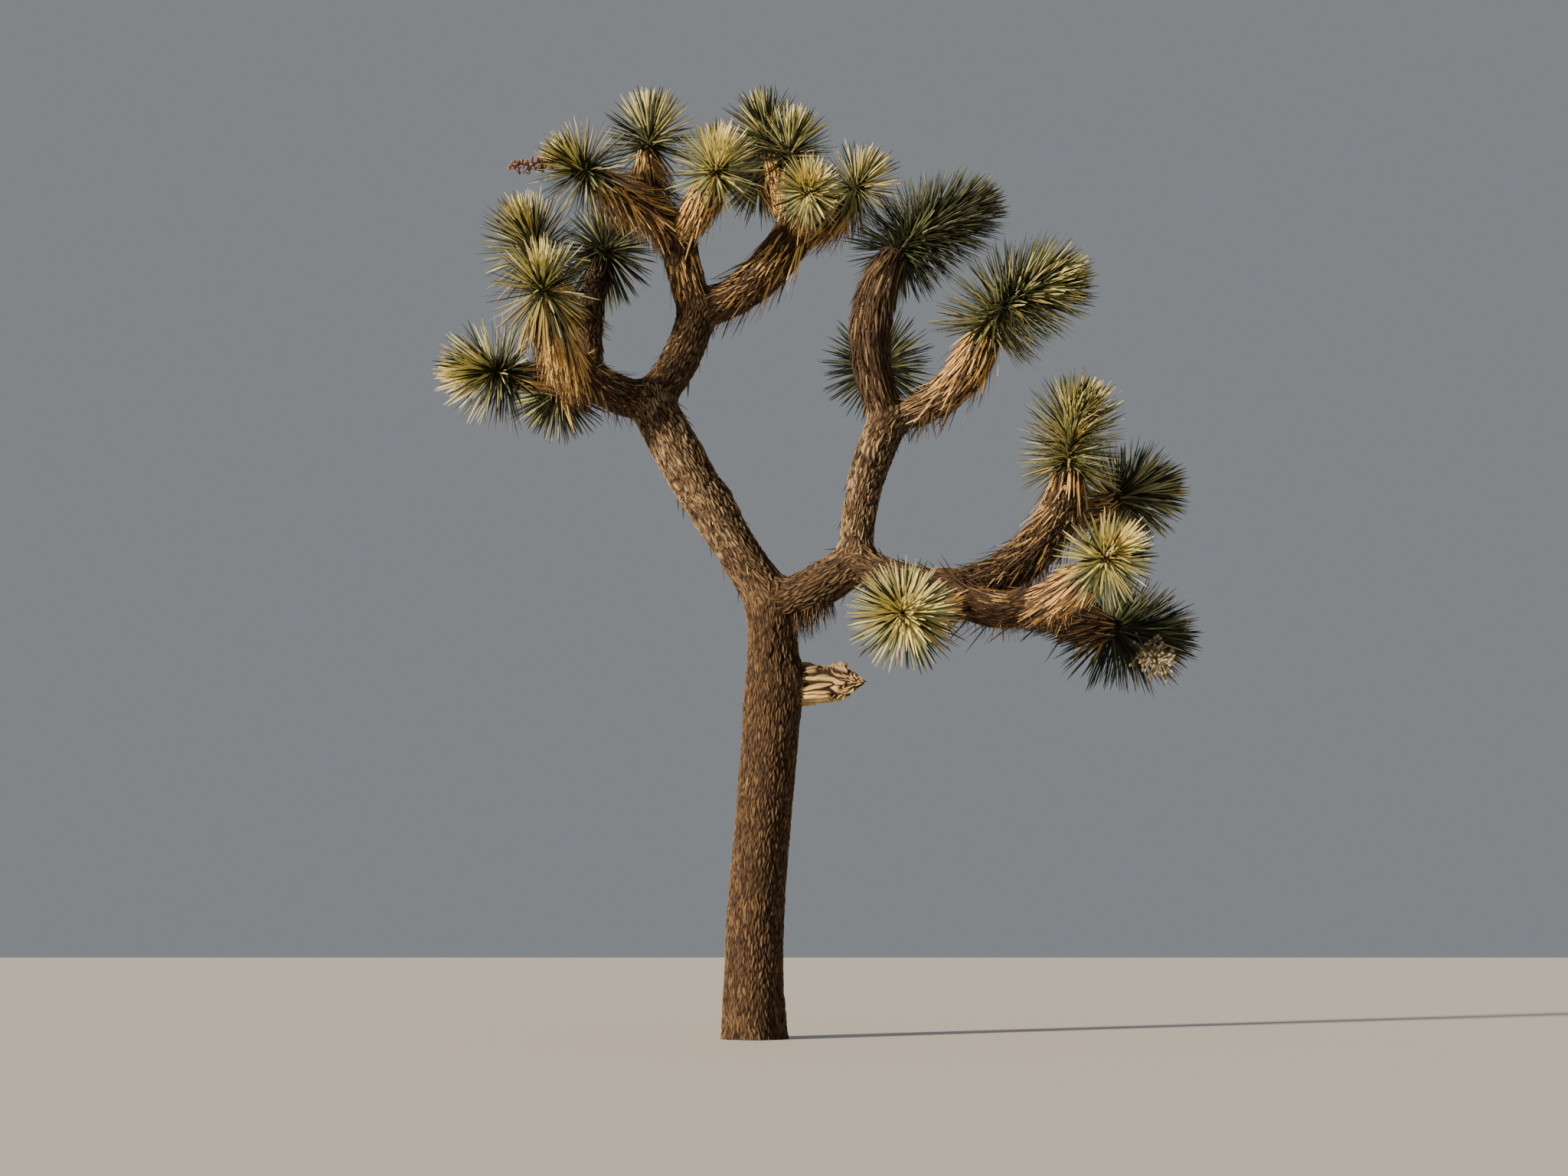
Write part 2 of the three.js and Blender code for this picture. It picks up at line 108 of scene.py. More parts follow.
def scatter(column: Array, row: Array, seed: int) -> Array:
    """Repeatable random numbers from 0 to 1, one for each pair of whole numbers.

    Args:
        column: Whole numbers.
        row: Whole numbers of the same shape.
        seed: Which set of random numbers.

    Returns:
        The bits of the pair, multiplied and folded over each other, as a share of their range.
    """
    across, along, start, first, second = MIXERS
    mixed = column.astype(np.uint32) * np.uint32(across)
    mixed += row.astype(np.uint32) * np.uint32(along)
    mixed += np.uint32((seed * start) % 2**32)
    mixed = (mixed ^ (mixed >> np.uint32(13))) * np.uint32(first)
    mixed = (mixed ^ (mixed >> np.uint32(15))) * np.uint32(second)
    return (mixed ^ (mixed >> np.uint32(16))) / 2.0**32


def cloud(a: Array, b: Array, around: int, seed: int) -> Array:
    """Smooth noise from 0 to 1 on a sheet that closes on itself.

    Args:
        a: Places across the sheet, in cells.
        b: Places along the sheet, in cells.
        around: How many cells go round before the noise repeats.
        seed: Which noise.

    Returns:
        Random numbers at the corners of the cells, mixed by the smoothed place in the cell.
    """
    i, j = np.floor(a).astype(np.int64), np.floor(b).astype(np.int64)
    x, y = smooth_step(a - i), smooth_step(b - j)
    low = scatter(i % around, j, seed) * (1 - x) + scatter((i + 1) % around, j, seed) * x
    high = scatter(i % around, j + 1, seed) * (1 - x) + scatter((i + 1) % around, j + 1, seed) * x
    return low * (1 - y) + high * y


# How far a plate's centre strays in its cell, and a distance in cells that no centre is from a point.
PLATE_STRAY = 0.95
FAR = 9.0


def plates(a: Array, b: Array, around: int, seed: int) -> tuple[Array, Array]:
    """Irregular plates on a sheet that closes on itself.

    Each cell holds the centre of one plate, strayed at random, and a point belongs to the nearest centre.

    Args:
        a: Places across the sheet, in cells.
        b: Places along the sheet, in cells.
        around: How many cells go round.
        seed: Which plates.

    Returns:
        How much further the next centre is than the nearest, which is 0 at a plate's edge, and a random
        number from 0 to 1 for the plate.
    """
    i, j = np.floor(a).astype(np.int64), np.floor(b).astype(np.int64)
    nearest, second = np.full(a.shape, FAR), np.full(a.shape, FAR)
    mark = np.zeros(a.shape)
    for across in (-1, 0, 1):
        for along in (-1, 0, 1):
            column, row = (i + across) % around, j + along
            x = i + across + 0.5 + PLATE_STRAY * (scatter(column, row, seed) - 0.5) - a
            y = row + 0.5 + PLATE_STRAY * (scatter(column, row, seed + 1) - 0.5) - b
            distance = np.hypot(x, y)
            closer = distance < nearest
            second = np.where(closer, nearest, np.minimum(second, distance))
            mark = np.where(closer, scatter(column, row, seed + 2), mark)
            nearest = np.where(closer, distance, nearest)
    return second - nearest, mark


# Paths and limbs


@dataclass(frozen=True)
class Path:
    """A Bezier curve in one plane, as a close table that is read by share of its length."""

    points: Array
    tangents: Array
    side: Array
    run: Array

    TABLE = 241
    # A path as straight as this has no plane of its own, so its side is taken square to the spare vector.
    STRAIGHT = 1e-6
    SPARE = (0.3, 1.0, 0.2)

    @classmethod
    def bezier(cls, *controls: Array) -> Path:
        """Make the path of three or four control points.

        The curve is each control times its Bernstein weight, and the weight of control k out of n is the
        binomial of n and k, times t to the power k, times one less t to the power n less k.

        Args:
            controls: The control points, from start to tip.

        Returns:
            The path.
        """
        knots = np.array(controls, float)
        degree = len(knots) - 1
        t = np.linspace(0, 1, cls.TABLE)[:, None]

        def weighted(points: Array, n: int) -> Array:
            """The sum of the points, each times its Bernstein weight."""
            return sum(math.comb(n, k) * t**k * (1 - t) ** (n - k) * points[k] for k in range(n + 1))

        points = weighted(knots, degree)
        tangents = unit(weighted(np.diff(knots, axis=0), degree - 1))
        side = np.cross(knots[1] - knots[0], knots[-1] - knots[0])
        if np.linalg.norm(side) < cls.STRAIGHT:
            side = np.cross(tangents[0], cls.SPARE)
        steps = np.linalg.norm(np.diff(points, axis=0), axis=1)
        run = np.concatenate(([0.0], np.cumsum(steps)))
        return cls(points, tangents, unit(side), run)

    @classmethod
    def bowed(cls, start: Array, tip: Array, bow: Array) -> Path:
        """A path whose middle stands off the straight line by the vector bow."""
        start, tip, bow = np.array(start, float), np.array(tip, float), np.array(bow, float)
        return cls.bezier(start, (start + tip) / 2 + 2 * bow, tip)

    @property
    def length(self) -> float:
        """The length along the curve."""
        return float(self.run[-1])

    def read(self, table: Array, share: Array) -> Array:
        """Values of a table of the path's points at shares of its length, by straight lines between them."""
        place = np.asarray(share, float) * self.length
        return np.stack([np.interp(place, self.run, column) for column in table.T], axis=-1)

    def at(self, share: Array) -> Array:
        """Points at shares of the length."""
        return self.read(self.points, share)

    def along(self, share: Array) -> Array:
        """Unit tangents at shares of the length."""
        return unit(self.read(self.tangents, share))

    def out(self, share: Array, turn: Array) -> Array:
        """Unit vectors square to the path, turned about it from its own plane.

        Args:
            share: Shares of the length.
            turn: Angles about the path, in radians.

        Returns:
            One unit vector for each share and turn.
        """
        along = self.along(share)
        normal = unit(np.cross(self.side, along))
        return turned(normal, np.broadcast_to(self.side, normal.shape), turn)


@dataclass
class Limb:
    """A tapering limb: where it starts, the tip it reaches, its bow and its diameters at even steps.

    clad is how many dead leaves a metre cover it, fringe how long they are at its start and its tip, and
    ragged the share of them that stand loose. The age and shade of their tints is given at its start and its
    tip, from 0 for straw to 5 for the oldest, and past either for more leaves of that tint: partly the
    leaves' own age and partly painted shade, raised where a limb lies in shade and lowered as painted light
    on a stem in shade. beard is for leaves that hang straight down under it: the shares where they begin and
    end, their length and their count. The bleach and shade of its bark is how weathered it is at its start
    and its tip, lowered as painted shade on limbs that lie in shade. Each swelling is a ball, as its centre
    and radius, that the bark grows over.
    """

    name: str
    tip: Triple
    girth: tuple[float, ...]
    on: str = ""
    at: float = 1.0
    bow: Triple = (0.0, 0.0, 0.0)
    knees: tuple[Triple, ...] = ()
    clad: float = 0.0
    fringe: Pair = (0.0, 0.0)
    ragged: float = 0.06
    # The dead leaves' age and the bark's bleach carry painted shade as well as real age and weathering.
    age: Pair = (2.6, 2.6)
    beard: tuple[float, float, float, int] | None = None
    bleach_and_shade: Pair = (0.2, 0.2)
    swellings: tuple[tuple[Triple, float], ...] = ()
    path: Path = field(init=False)

    # The steps in girth are softened over this share of the length either way, and beads lie this close.
    SOFTEN = 0.06
    SOFTEN_READS = 5
    BEAD_STEP = 0.014

    @property
    def node(self) -> str:
        """The name of the limb's node."""
        return self.name

    def grow(self, start: Array) -> None:
        """Lay the limb's path from its start.

        Args:
            start: The point on the parent's middle line.
        """
        if self.knees:
            self.path = Path.bezier(start, *self.knees, self.tip)
        else:
            self.path = Path.bowed(start, self.tip, self.bow)

    def radius(self, share: Array) -> Array:
        """Half the diameter along the limb: straight lines between its steps, averaged over a short run.

        Args:
            share: Shares of the length.

        Returns:
            The radius at each share.
        """
        steps = np.linspace(0, 1, len(self.girth))
        share = np.asarray(share, float)
        shifts = np.linspace(-self.SOFTEN, self.SOFTEN, self.SOFTEN_READS)
        return np.mean([np.interp(share + shift, steps, self.girth) for shift in shifts], axis=0) / 2

    def beads(self) -> tuple[Array, Array]:
        """Close points along the middle line, with the radius at each, for finding what is near."""
        share = np.linspace(0, 1, int(self.path.length / self.BEAD_STEP))
        return self.path.at(share), self.radius(share)


@dataclass
class Stem(Limb):
    """A limb that ends in a rosette.

    The leafy tip bends from the stem's own line towards aim, past the share of its length that elbow gives.
    leafy is its length, spread how far its longest leaves reach from its middle line, and droop the angle of
    its lowest leaves in degrees. dry is the share of its leaves that have begun to dry, and dark the share of
    them that are painted deep green as the shade between leaves. even is how far the rest share one tint, and
    shade how many tints darker they are, as painted shade on a rosette that lies in the shade of others;
    below zero it makes them paler, as painted light. weep and hang are how far its lowest live leaves and its
    dead leaves hang straight down, and shag is how much further than usual its loose dead leaves stand off.
    """

    aim: Triple = (0.0, 0.0, 1.0)
    elbow: float = 0.35
    leafy: float = 0.2
    spread: float = 0.28
    droop: float = 116.0
    dry: float = 0.06
    # dark and shade are painted shade: deep green leaves for the shade between leaves, and darker tints for a
    # rosette in shade.
    dark: float = 0.3
    even: float = 0.2
    shade: float = 0.0
    weep: float = 0.0
    hang: float = 0.0
    shag: float = 1.0
    clad: float = 900.0
    fringe: Pair = (0.15, 0.25)
    age: Pair = (1.6, 0.0)

    # A hair's gap parts the leafy tip from the stem, as in the solids, and its core is a spindle.
    GAP = 0.0003
    CORE_RADIUS = 0.08
    CORE_FOOT = 0.9
    CORE_BELLY = 0.45
    CORE_CLOSE = 0.9

    @property
    def node(self) -> str:
        """The name of the stem's node."""
        return f"stem_{self.name}"

    def leafy_path(self) -> Path:
        """Lay the middle line of the leafy tip: on along the stem, then bent towards aim.

        Returns:
            The path.
        """
        along = self.path.along(1.0)
        foot = self.path.at(1.0) + along * self.GAP
        elbow = foot + along * self.leafy * self.elbow
        return Path.bezier(foot, elbow, elbow + unit(np.array(self.aim)) * self.leafy * (1 - self.elbow))

    def core_radius(self, share: Array) -> Array:
        """The radius of the leafy tip's core, which swells to its belly and closes in a dome from there.

        Args:
            share: Shares of the leafy tip's length.

        Returns:
            A straight rise from the foot to the belly, and past it the belly's radius times the square root
            of one less most of the square of how far past.
        """
        foot = min(self.CORE_RADIUS, float(self.radius(1.0))) * self.CORE_FOOT
        share = np.asarray(share, float)
        rising = foot + (self.CORE_RADIUS - foot) * share / self.CORE_BELLY
        past = np.clip((share - self.CORE_BELLY) / (1 - self.CORE_BELLY), 0, 1)
        dome = self.CORE_RADIUS * np.sqrt(1 - past * past * self.CORE_CLOSE)
        return np.where(share < self.CORE_BELLY, rising, dome)


# A limb's dead-leaf age and bark bleach are partly painted shade: older, darker leaves and less bleach where
# it lies in shade.
BOUGHS = (
    Limb("trunk", knees=((-0.04, 0, 0.9), (0.136, 0, 1.5)), tip=(0.082, 0, 2.3),
         girth=(0.334, 0.312, 0.302, 0.296, 0.294, 0.296, 0.300, 0.302, 0.264, 0.266), bleach_and_shade=(1.0, 1.0),
         swellings=(((0.17, -0.03, 1.87), 0.12), ((0.185, -0.03, 1.79), 0.085), ((0.16, -0.03, 1.7), 0.078))),
    Limb("bough_left", on="trunk", tip=(-0.59, 0.3, 3.47), bow=(-0.026, -0.01, 0),
         girth=(0.262, 0.224, 0.252, 0.262, 0.250), clad=620, fringe=(0.05, 0.07), ragged=0.05,
         age=(3.2, 3.0), bleach_and_shade=(0.6, 2.5),
         swellings=(((-0.225, 0.155, 2.87), 0.115), ((-0.196, 0.15, 2.805), 0.108))),
    Limb("arm_left", on="bough_left", tip=(-0.96, 0.07, 3.595), bow=(-0.02, 0.03, -0.03),
         girth=(0.215, 0.208, 0.190), clad=520, fringe=(0.09, 0.14), ragged=0.14, age=(3.6, 2.6),
         beard=(0.2, 1.0, 0.1, 70)),
    Limb("arm_left_riser", on="arm_left", at=0.8, tip=(-0.925, 0.44, 4.145), bow=(-0.02, 0, 0.01),
         girth=(0.134, 0.142, 0.132), clad=460, fringe=(0.10, 0.15), age=(4.4, 4.0), bleach_and_shade=(0.0, 0.0)),
    Limb("bough_middle", on="bough_left", tip=(-0.335, 0.33, 4.0), bow=(0.04, 0.01, 0),
         girth=(0.220, 0.214, 0.210), clad=560, fringe=(0.07, 0.10), ragged=0.08, age=(3.8, 2.8),
         bleach_and_shade=(0.3, 0.6)),
    Limb("arm_middle_left", on="bough_middle", tip=(-0.435, 0.23, 4.39), bow=(-0.018, 0.01, 0),
         girth=(0.200, 0.198, 0.204), clad=820, fringe=(0.10, 0.2), age=(2.0, 0.0)),
    Limb("arm_middle_right", on="bough_middle", tip=(0.21, 0.36, 4.48), bow=(0.045, 0.02, -0.065),
         girth=(0.200, 0.226, 0.240), clad=900, fringe=(0.09, 0.24), ragged=0.2, age=(3.0, -1.2)),
    Limb("bough_right", on="trunk", at=0.985, tip=(0.532, -0.12, 2.495), bow=(0.01, 0, -0.024),
         girth=(0.250, 0.240, 0.218), clad=560, fringe=(0.05, 0.06), ragged=0.06, age=(3.8, 3.4),
         beard=(0.05, 0.6, 0.14, 260), bleach_and_shade=(0.2, 0.8)),
    Limb("bough_upper", on="bough_right", tip=(0.725, 0.06, 3.31), bow=(-0.045, -0.02, 0),
         girth=(0.194, 0.184, 0.190, 0.208, 0.214), clad=520, fringe=(0.045, 0.08), ragged=0.04,
         age=(3.0, 3.4), bleach_and_shade=(1.7, 1.9)),
    Limb("bough_lower", on="bough_right", tip=(0.995, -0.37, 2.31), bow=(-0.005, 0, -0.034),
         girth=(0.196, 0.188, 0.188), clad=560, fringe=(0.06, 0.10), ragged=0.14, age=(3.6, 4.8),
         beard=(0.0, 1.0, 0.08, 60), bleach_and_shade=(0.5, 0.0)),
    Limb("arm_lower_riser", on="bough_lower", tip=(1.665, 0.04, 2.82), bow=(0.064, -0.04, -0.096),
         girth=(0.164, 0.200, 0.236, 0.216), clad=700, fringe=(0.10, 0.25), ragged=0.3, age=(3.0, 0.4),
         beard=(0.08, 0.6, 0.12, 120)),
    Limb("arm_lower", on="bough_lower", tip=(1.375, -0.46, 2.19), bow=(-0.02, -0.02, -0.05),
         girth=(0.172, 0.188, 0.190), clad=520, fringe=(0.11, 0.17), ragged=0.16, age=(6.0, 1.6),
         beard=(0.0, 1.0, 0.09, 80), bleach_and_shade=(0.0, 0.0)),
)

# The stems' dark, shade and age values are partly painted shade, for stems and rosettes in the shade of
# others; a few lower ones are painted light.
STEMS = (
    Stem("left_low", on="arm_left", tip=(-1.315, -0.07, 3.52), bow=(0, 0.01, -0.035),
         girth=(0.14, 0.15, 0.16), aim=(-0.86, -0.5, -0.08), leafy=0.24, spread=0.3, dark=0.42),
    Stem("left_front", on="arm_left", tip=(-1.1, -0.4, 3.8), bow=(-0.01, -0.05, -0.06),
         girth=(0.132, 0.204, 0.236), aim=(-0.1, -0.75, 0.65), leafy=0.21, spread=0.298, droop=142, dry=0.6,
         dark=0.4, even=0.3, shade=0.4, weep=1.3, fringe=(0.2, 0.32), ragged=0.2, hang=0.9, age=(0.6, -0.2),
         beard=(0.1, 0.8, 0.2, 140)),
    Stem("left_top", on="arm_left_riser", at=0.6, tip=(-1.17, -0.02, 4.16), bow=(-0.01, 0.02, -0.04),
         girth=(0.108, 0.122, 0.134), aim=(-0.4, -0.55, 0.73), leafy=0.24, spread=0.31, dark=0.5, shade=0.3),
    Stem("left_rear", on="arm_left_riser", tip=(-0.918, 0.8, 4.44), bow=(0, 0.01, -0.04),
         girth=(0.114, 0.124, 0.134), aim=(0.3, 0.6, 0.74), leafy=0.23, spread=0.308, droop=154, dark=0.78,
         shade=1.7, dry=0.02, weep=0.35, age=(4.8, 4.4)),
    Stem("left_under", on="arm_left", at=0.86, tip=(-1.11, 0.62, 3.61), bow=(0.02, 0.02, -0.03),
         girth=(0.114, 0.13, 0.138), aim=(-0.4, 0.9, -0.15), leafy=0.22, spread=0.282, droop=138, dark=0.62,
         shade=0.6, age=(2.6, 1.0)),
    Stem("middle_west", on="arm_middle_left", tip=(-0.905, -0.06, 4.655), bow=(0.01, 0.01, 0.01),
         girth=(0.14, 0.156, 0.166), aim=(-0.8, -0.3, 0.52), leafy=0.165, spread=0.285, dark=0.4, shade=0.2,
         ragged=0.75, shag=3.0, age=(1.0, 1.2)),
    Stem("middle_top", on="arm_middle_left", tip=(-0.622, 0.33, 4.94), bow=(-0.062, 0.01, -0.01),
         girth=(0.126, 0.124, 0.138), aim=(0.1, 0.12, 0.98), leafy=0.205, spread=0.284, dark=0.42, shade=0.2,
         ragged=0.8, shag=3.4, age=(2.4, 1.6)),
    Stem("middle_east", on="arm_middle_left", tip=(-0.235, -0.15, 4.59), bow=(0.01, -0.02, -0.03),
         girth=(0.142, 0.184, 0.214), aim=(0.1, -0.72, 0.68), leafy=0.18, spread=0.262, dark=0.12,
         shade=-0.4),
    Stem("crown_side", on="arm_middle_right", at=0.96, tip=(0.185, 0.27, 4.84), bow=(0.012, 0, 0),
         girth=(0.16, 0.164, 0.152), aim=(0.3, -0.15, 0.94), leafy=0.19, spread=0.262, dark=0.42, shade=0.4,
         age=(-0.4, -0.4)),
    Stem("crown_high", on="crown_side", at=0.35, tip=(0.08, 0.45, 4.97), bow=(-0.01, 0.01, -0.01),
         girth=(0.12, 0.126, 0.132), aim=(-0.25, -0.05, 0.97), leafy=0.23, spread=0.282, dark=0.5, shade=0.4),
    Stem("crown_front", on="arm_middle_right", tip=(0.285, -0.06, 4.53), bow=(0.01, 0.01, -0.02),
         girth=(0.14, 0.156, 0.172), aim=(0.02, -0.97, 0.22), leafy=0.15, spread=0.196, dark=0.14,
         shade=-0.3),
    Stem("crown_east", on="arm_middle_right", tip=(0.515, 0.33, 4.65), bow=(0.025, 0, -0.035),
         girth=(0.14, 0.16, 0.178), aim=(0.55, 0.1, 0.83), leafy=0.2, spread=0.272, droop=140, weep=0.7,
         fringe=(0.18, 0.28), hang=0.6, age=(1.2, 0.0), beard=(0.3, 1.0, 0.16, 60)),
    Stem("crown_rear", on="arm_middle_right", tip=(0.03, 0.84, 4.95), bow=(0.03, 0.06, 0),
         girth=(0.116, 0.126, 0.138), aim=(-0.2, 0.86, 0.46), leafy=0.22, spread=0.27, dark=0.55, shade=0.6),
    Stem("upper", on="bough_upper", tip=(0.765, 0.06, 4.23), bow=(-0.13, -0.08, 0.01),
         girth=(0.176, 0.216, 0.232, 0.196), aim=(0.9, 0.1, 0.42), leafy=0.56, spread=0.305, droop=108,
         dark=0.78, even=0.6, shade=2.6, dry=0.01, age=(4.8, 3.8)),
    Stem("upper_rear", on="bough_upper", at=0.9, tip=(0.695, 0.66, 3.72), bow=(-0.01, 0.05, -0.06),
         girth=(0.124, 0.136, 0.146), aim=(0.05, 0.8, 0.6), leafy=0.24, spread=0.325, dark=0.66, shade=1.3,
         dry=0.03, age=(3.2, 1.6)),
    Stem("upper_outer", on="bough_upper", tip=(1.24, -0.16, 3.73), bow=(0.07, 0, -0.085),
         girth=(0.152, 0.184, 0.236, 0.2), aim=(0.8, -0.6, 0.08), leafy=0.56, spread=0.315, droop=110,
         dark=0.46, even=0.5, shade=0.3, ragged=0.12, age=(4.4, 0.0), beard=(0.0, 0.4, 0.1, 60)),
    Stem("riser_top", on="arm_lower_riser", tip=(1.7, 0.06, 3.01), bow=(0.006, 0, 0),
         girth=(0.214, 0.21, 0.2), aim=(0.2, -0.93, 0.3), elbow=0.6, leafy=0.46, spread=0.285, even=0.8,
         fringe=(0.2, 0.3), ragged=0.75, shag=1.8, age=(0.8, 0.0)),
    Stem("riser_east", on="arm_lower_riser", at=0.94, tip=(1.985, 0.46, 2.93), bow=(0.01, 0.01, -0.04),
         girth=(0.132, 0.142, 0.152), aim=(0.86, 0.4, 0.2), leafy=0.345, spread=0.3, dark=0.5, shade=0.3,
         age=(2.2, 0.8)),
    Stem("lower_front", on="arm_lower", tip=(1.725, -0.78, 2.345), bow=(0.04, 0, -0.02),
         girth=(0.158, 0.196, 0.184), aim=(0.22, -0.94, 0.22), leafy=0.19, spread=0.246, dark=0.12,
         shade=-0.4, hang=0.2, age=(1.8, 0.5), beard=(0.0, 0.6, 0.1, 60)),
    Stem("lower_east", on="arm_lower", tip=(1.868, -0.06, 2.138), bow=(0.02, -0.01, -0.01),
         girth=(0.146, 0.158, 0.164), aim=(0.92, 0.36, -0.06), leafy=0.36, spread=0.314, dark=0.8, shade=2.0,
         dry=0.02, hang=0.25, age=(3.4, 2.2)),
    Stem("lower_near", on="arm_lower", at=0.35, tip=(0.755, -0.85, 2.09), bow=(-0.06, 0.02, -0.025),
         girth=(0.14, 0.154, 0.166), aim=(-0.1, -0.99, -0.04), leafy=0.22, spread=0.278, dark=0.3,
         shade=-0.3),
)


class Skeleton:
    """All the limbs, each grown from its parent's path."""

    # The shares of a line's length at which it is tested against the limbs.
    TESTS = (0.25, 0.5, 0.75, 1.0)

    def __init__(self, boughs: tuple[Limb, ...], stems: tuple[Stem, ...]) -> None:
        """Grow the limbs in order, so that a parent always stands before its children.

        Args:
            boughs: The trunk, boughs and arms.
            stems: The stems that carry the rosettes.
        """
        self.boughs = boughs
        self.stems = stems
        self.limbs: dict[str, Limb] = {}
        for limb in (*boughs, *stems):
            parent = self.limbs.get(limb.on)
            limb.grow(parent.path.at(limb.at) if parent else np.zeros(3))
            self.limbs[limb.name] = limb
        self.beads = {name: limb.beads() for name, limb in self.limbs.items()}
        for limb in boughs:
            if limb.swellings:
                centres, radii = zip(*limb.swellings)
                self.beads[f"{limb.name} swelling"] = (np.array(centres), np.array(radii))

    def distance(self, name: str, places: Array) -> Array:
        """How far points stand off the skin of a limb: the least distance to a bead, less its radius.

        Args:
            name: The limb.
            places: Points, one a row.

        Returns:
            Distances, below zero inside the limb.
        """
        centres, radii = self.beads[name]
        squares = (places**2).sum(-1)[:, None] + (centres**2).sum(-1) - 2 * places @ centres.T
        return (np.sqrt(np.maximum(squares, 0)) - radii).min(axis=1)

    def neighbours(self, limb: Limb, places: Array, room: float) -> list[str]:
        """Find what comes near a limb.

        Args:
            limb: The limb.
            places: Points on it, one a row.
            room: How far from one of the points is near.

        Returns:
            The names of the other limbs, and of the limb's own swellings, that come so near.
        """
        others = [name for name in self.limbs if name != limb.name]
        if limb.swellings:
            others.append(f"{limb.name} swelling")
        return [name for name in others if self.distance(name, places).min() < room]

    def is_clear(self, owner: str, starts: Array, ends: Array, depth: float) -> Array:
        """Which straight lines keep out of every limb but their own.

        Args:
            owner: The limb that the lines belong to.
            starts: Start points, one a row.
            ends: End points, one a row.
            depth: How deep in another limb's skin a line may run.

        Returns:
            True for each line that is clear.
        """
        shares = np.array(self.TESTS)[:, None, None]
        places = (starts + shares * (ends - starts)).reshape(-1, 3)
        clear = np.ones(len(places), bool)
        for name in self.limbs:
            if name != owner:
                clear &= self.distance(name, places) > -depth
        return clear.reshape(len(shares), -1).all(axis=0)


# Meshes


@dataclass
class Batch:
    """Points and faces that are gathered for one piece.

    The tints are the numbers of the faces' materials, and blade is each point's place across and along its
    leaf. What has one material and no leaves needs neither.
    """

    points: list[Array] = field(default_factory=list)
    quads: list[Array] = field(default_factory=list)
    triangles: list[Array] = field(default_factory=list)
    quad_tints: list[Array] = field(default_factory=list)
    triangle_tints: list[Array] = field(default_factory=list)
    blade: list[Array] = field(default_factory=list)
    count: int = 0

    def add(
        self, points: Array, quads: Array, triangles: Array, quad_tints: Any = 0, triangle_tints: Any = 0,
        blade: Any = (0.0, 0.0, 0.0),
    ) -> None:
        """Gather one set of points and faces.

        Args:
            points: Points, one a row.
            quads: Rows of four point numbers.
            triangles: Rows of three point numbers.
            quad_tints: One material number for each quad, or one for all.
            triangle_tints: One material number for each triangle, or one for all.
            blade: Each point's place on its leaf, or one for all.
        """
        self.points.append(points)
        self.quads.append(quads + self.count)
        self.triangles.append(triangles + self.count)
        self.quad_tints.append(np.broadcast_to(quad_tints, len(quads)))
        self.triangle_tints.append(np.broadcast_to(triangle_tints, len(triangles)))
        self.blade.append(np.broadcast_to(blade, points.shape))
        self.count += len(points)

    def to_object(self, name: str, materials: list[bpy.types.Material], smooth: bool) -> bpy.types.Object:
        """Make the piece's object.

        Args:
            name: The piece's name.
            materials: Its materials, in the order of the tints.
            smooth: Whether its faces are shaded smooth.

        Returns:
            The object, at the origin, in the scene.
        """
        quads, triangles = np.concatenate(self.quads), np.concatenate(self.triangles)
        mesh = bpy.data.meshes.new(name)
        mesh.vertices.add(self.count)
        mesh.vertices.foreach_set("co", np.concatenate(self.points).astype(np.float32).ravel())
        corners = np.concatenate((quads.ravel(), triangles.ravel())).astype(np.int32)
        starts = np.concatenate((np.arange(len(quads)) * 4, len(quads) * 4 + np.arange(len(triangles)) * 3))
        tints = np.concatenate((*self.quad_tints, *self.triangle_tints)).astype(np.int32)
        mesh.loops.add(len(corners))
        mesh.loops.foreach_set("vertex_index", corners)
        mesh.polygons.add(len(starts))
        mesh.polygons.foreach_set("loop_start", starts.astype(np.int32))
        mesh.update(calc_edges=True)
        for material in materials:
            mesh.materials.append(material)
        mesh.polygons.foreach_set("material_index", tints)
        mesh.polygons.foreach_set("use_smooth", np.full(len(starts), smooth))
        piece = bpy.data.objects.new(name, mesh)
        write_values(piece, "blade", np.concatenate(self.blade))
        mesh.validate()
        bpy.context.scene.collection.objects.link(piece)
        return piece


def write_values(piece: bpy.types.Object, name: str, values: Array) -> None:
    """Give each point of a piece a number or a vector that its material can read.

    Args:
        piece: The piece.
        name: What the material calls it.
        values: One number for each point, or one row of three.
    """
    kind, key = ("FLOAT_VECTOR", "vector") if values.ndim > 1 else ("FLOAT", "value")
    attribute = piece.data.attributes.new(name, kind, "POINT")
    attribute.data.foreach_set(key, values.astype(np.float32).ravel())


def settle(piece: bpy.types.Object, slot: Slot, *nodes: str) -> bpy.types.Object:
    """Let a piece ride on the tree and stand for its nodes, and report it.

    Args:
        piece: The finished piece.
        slot: The record's material slot; it is not used.
        nodes: The names of the solids that it stands for.

    Returns:
        The piece.
    """
    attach(piece, BODY)
    if nodes:
        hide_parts(*nodes)
    triangles = len(piece.data.loops) - 2 * len(piece.data.polygons)
    log.info("%s: %d triangles", piece.name, triangles)
    return piece


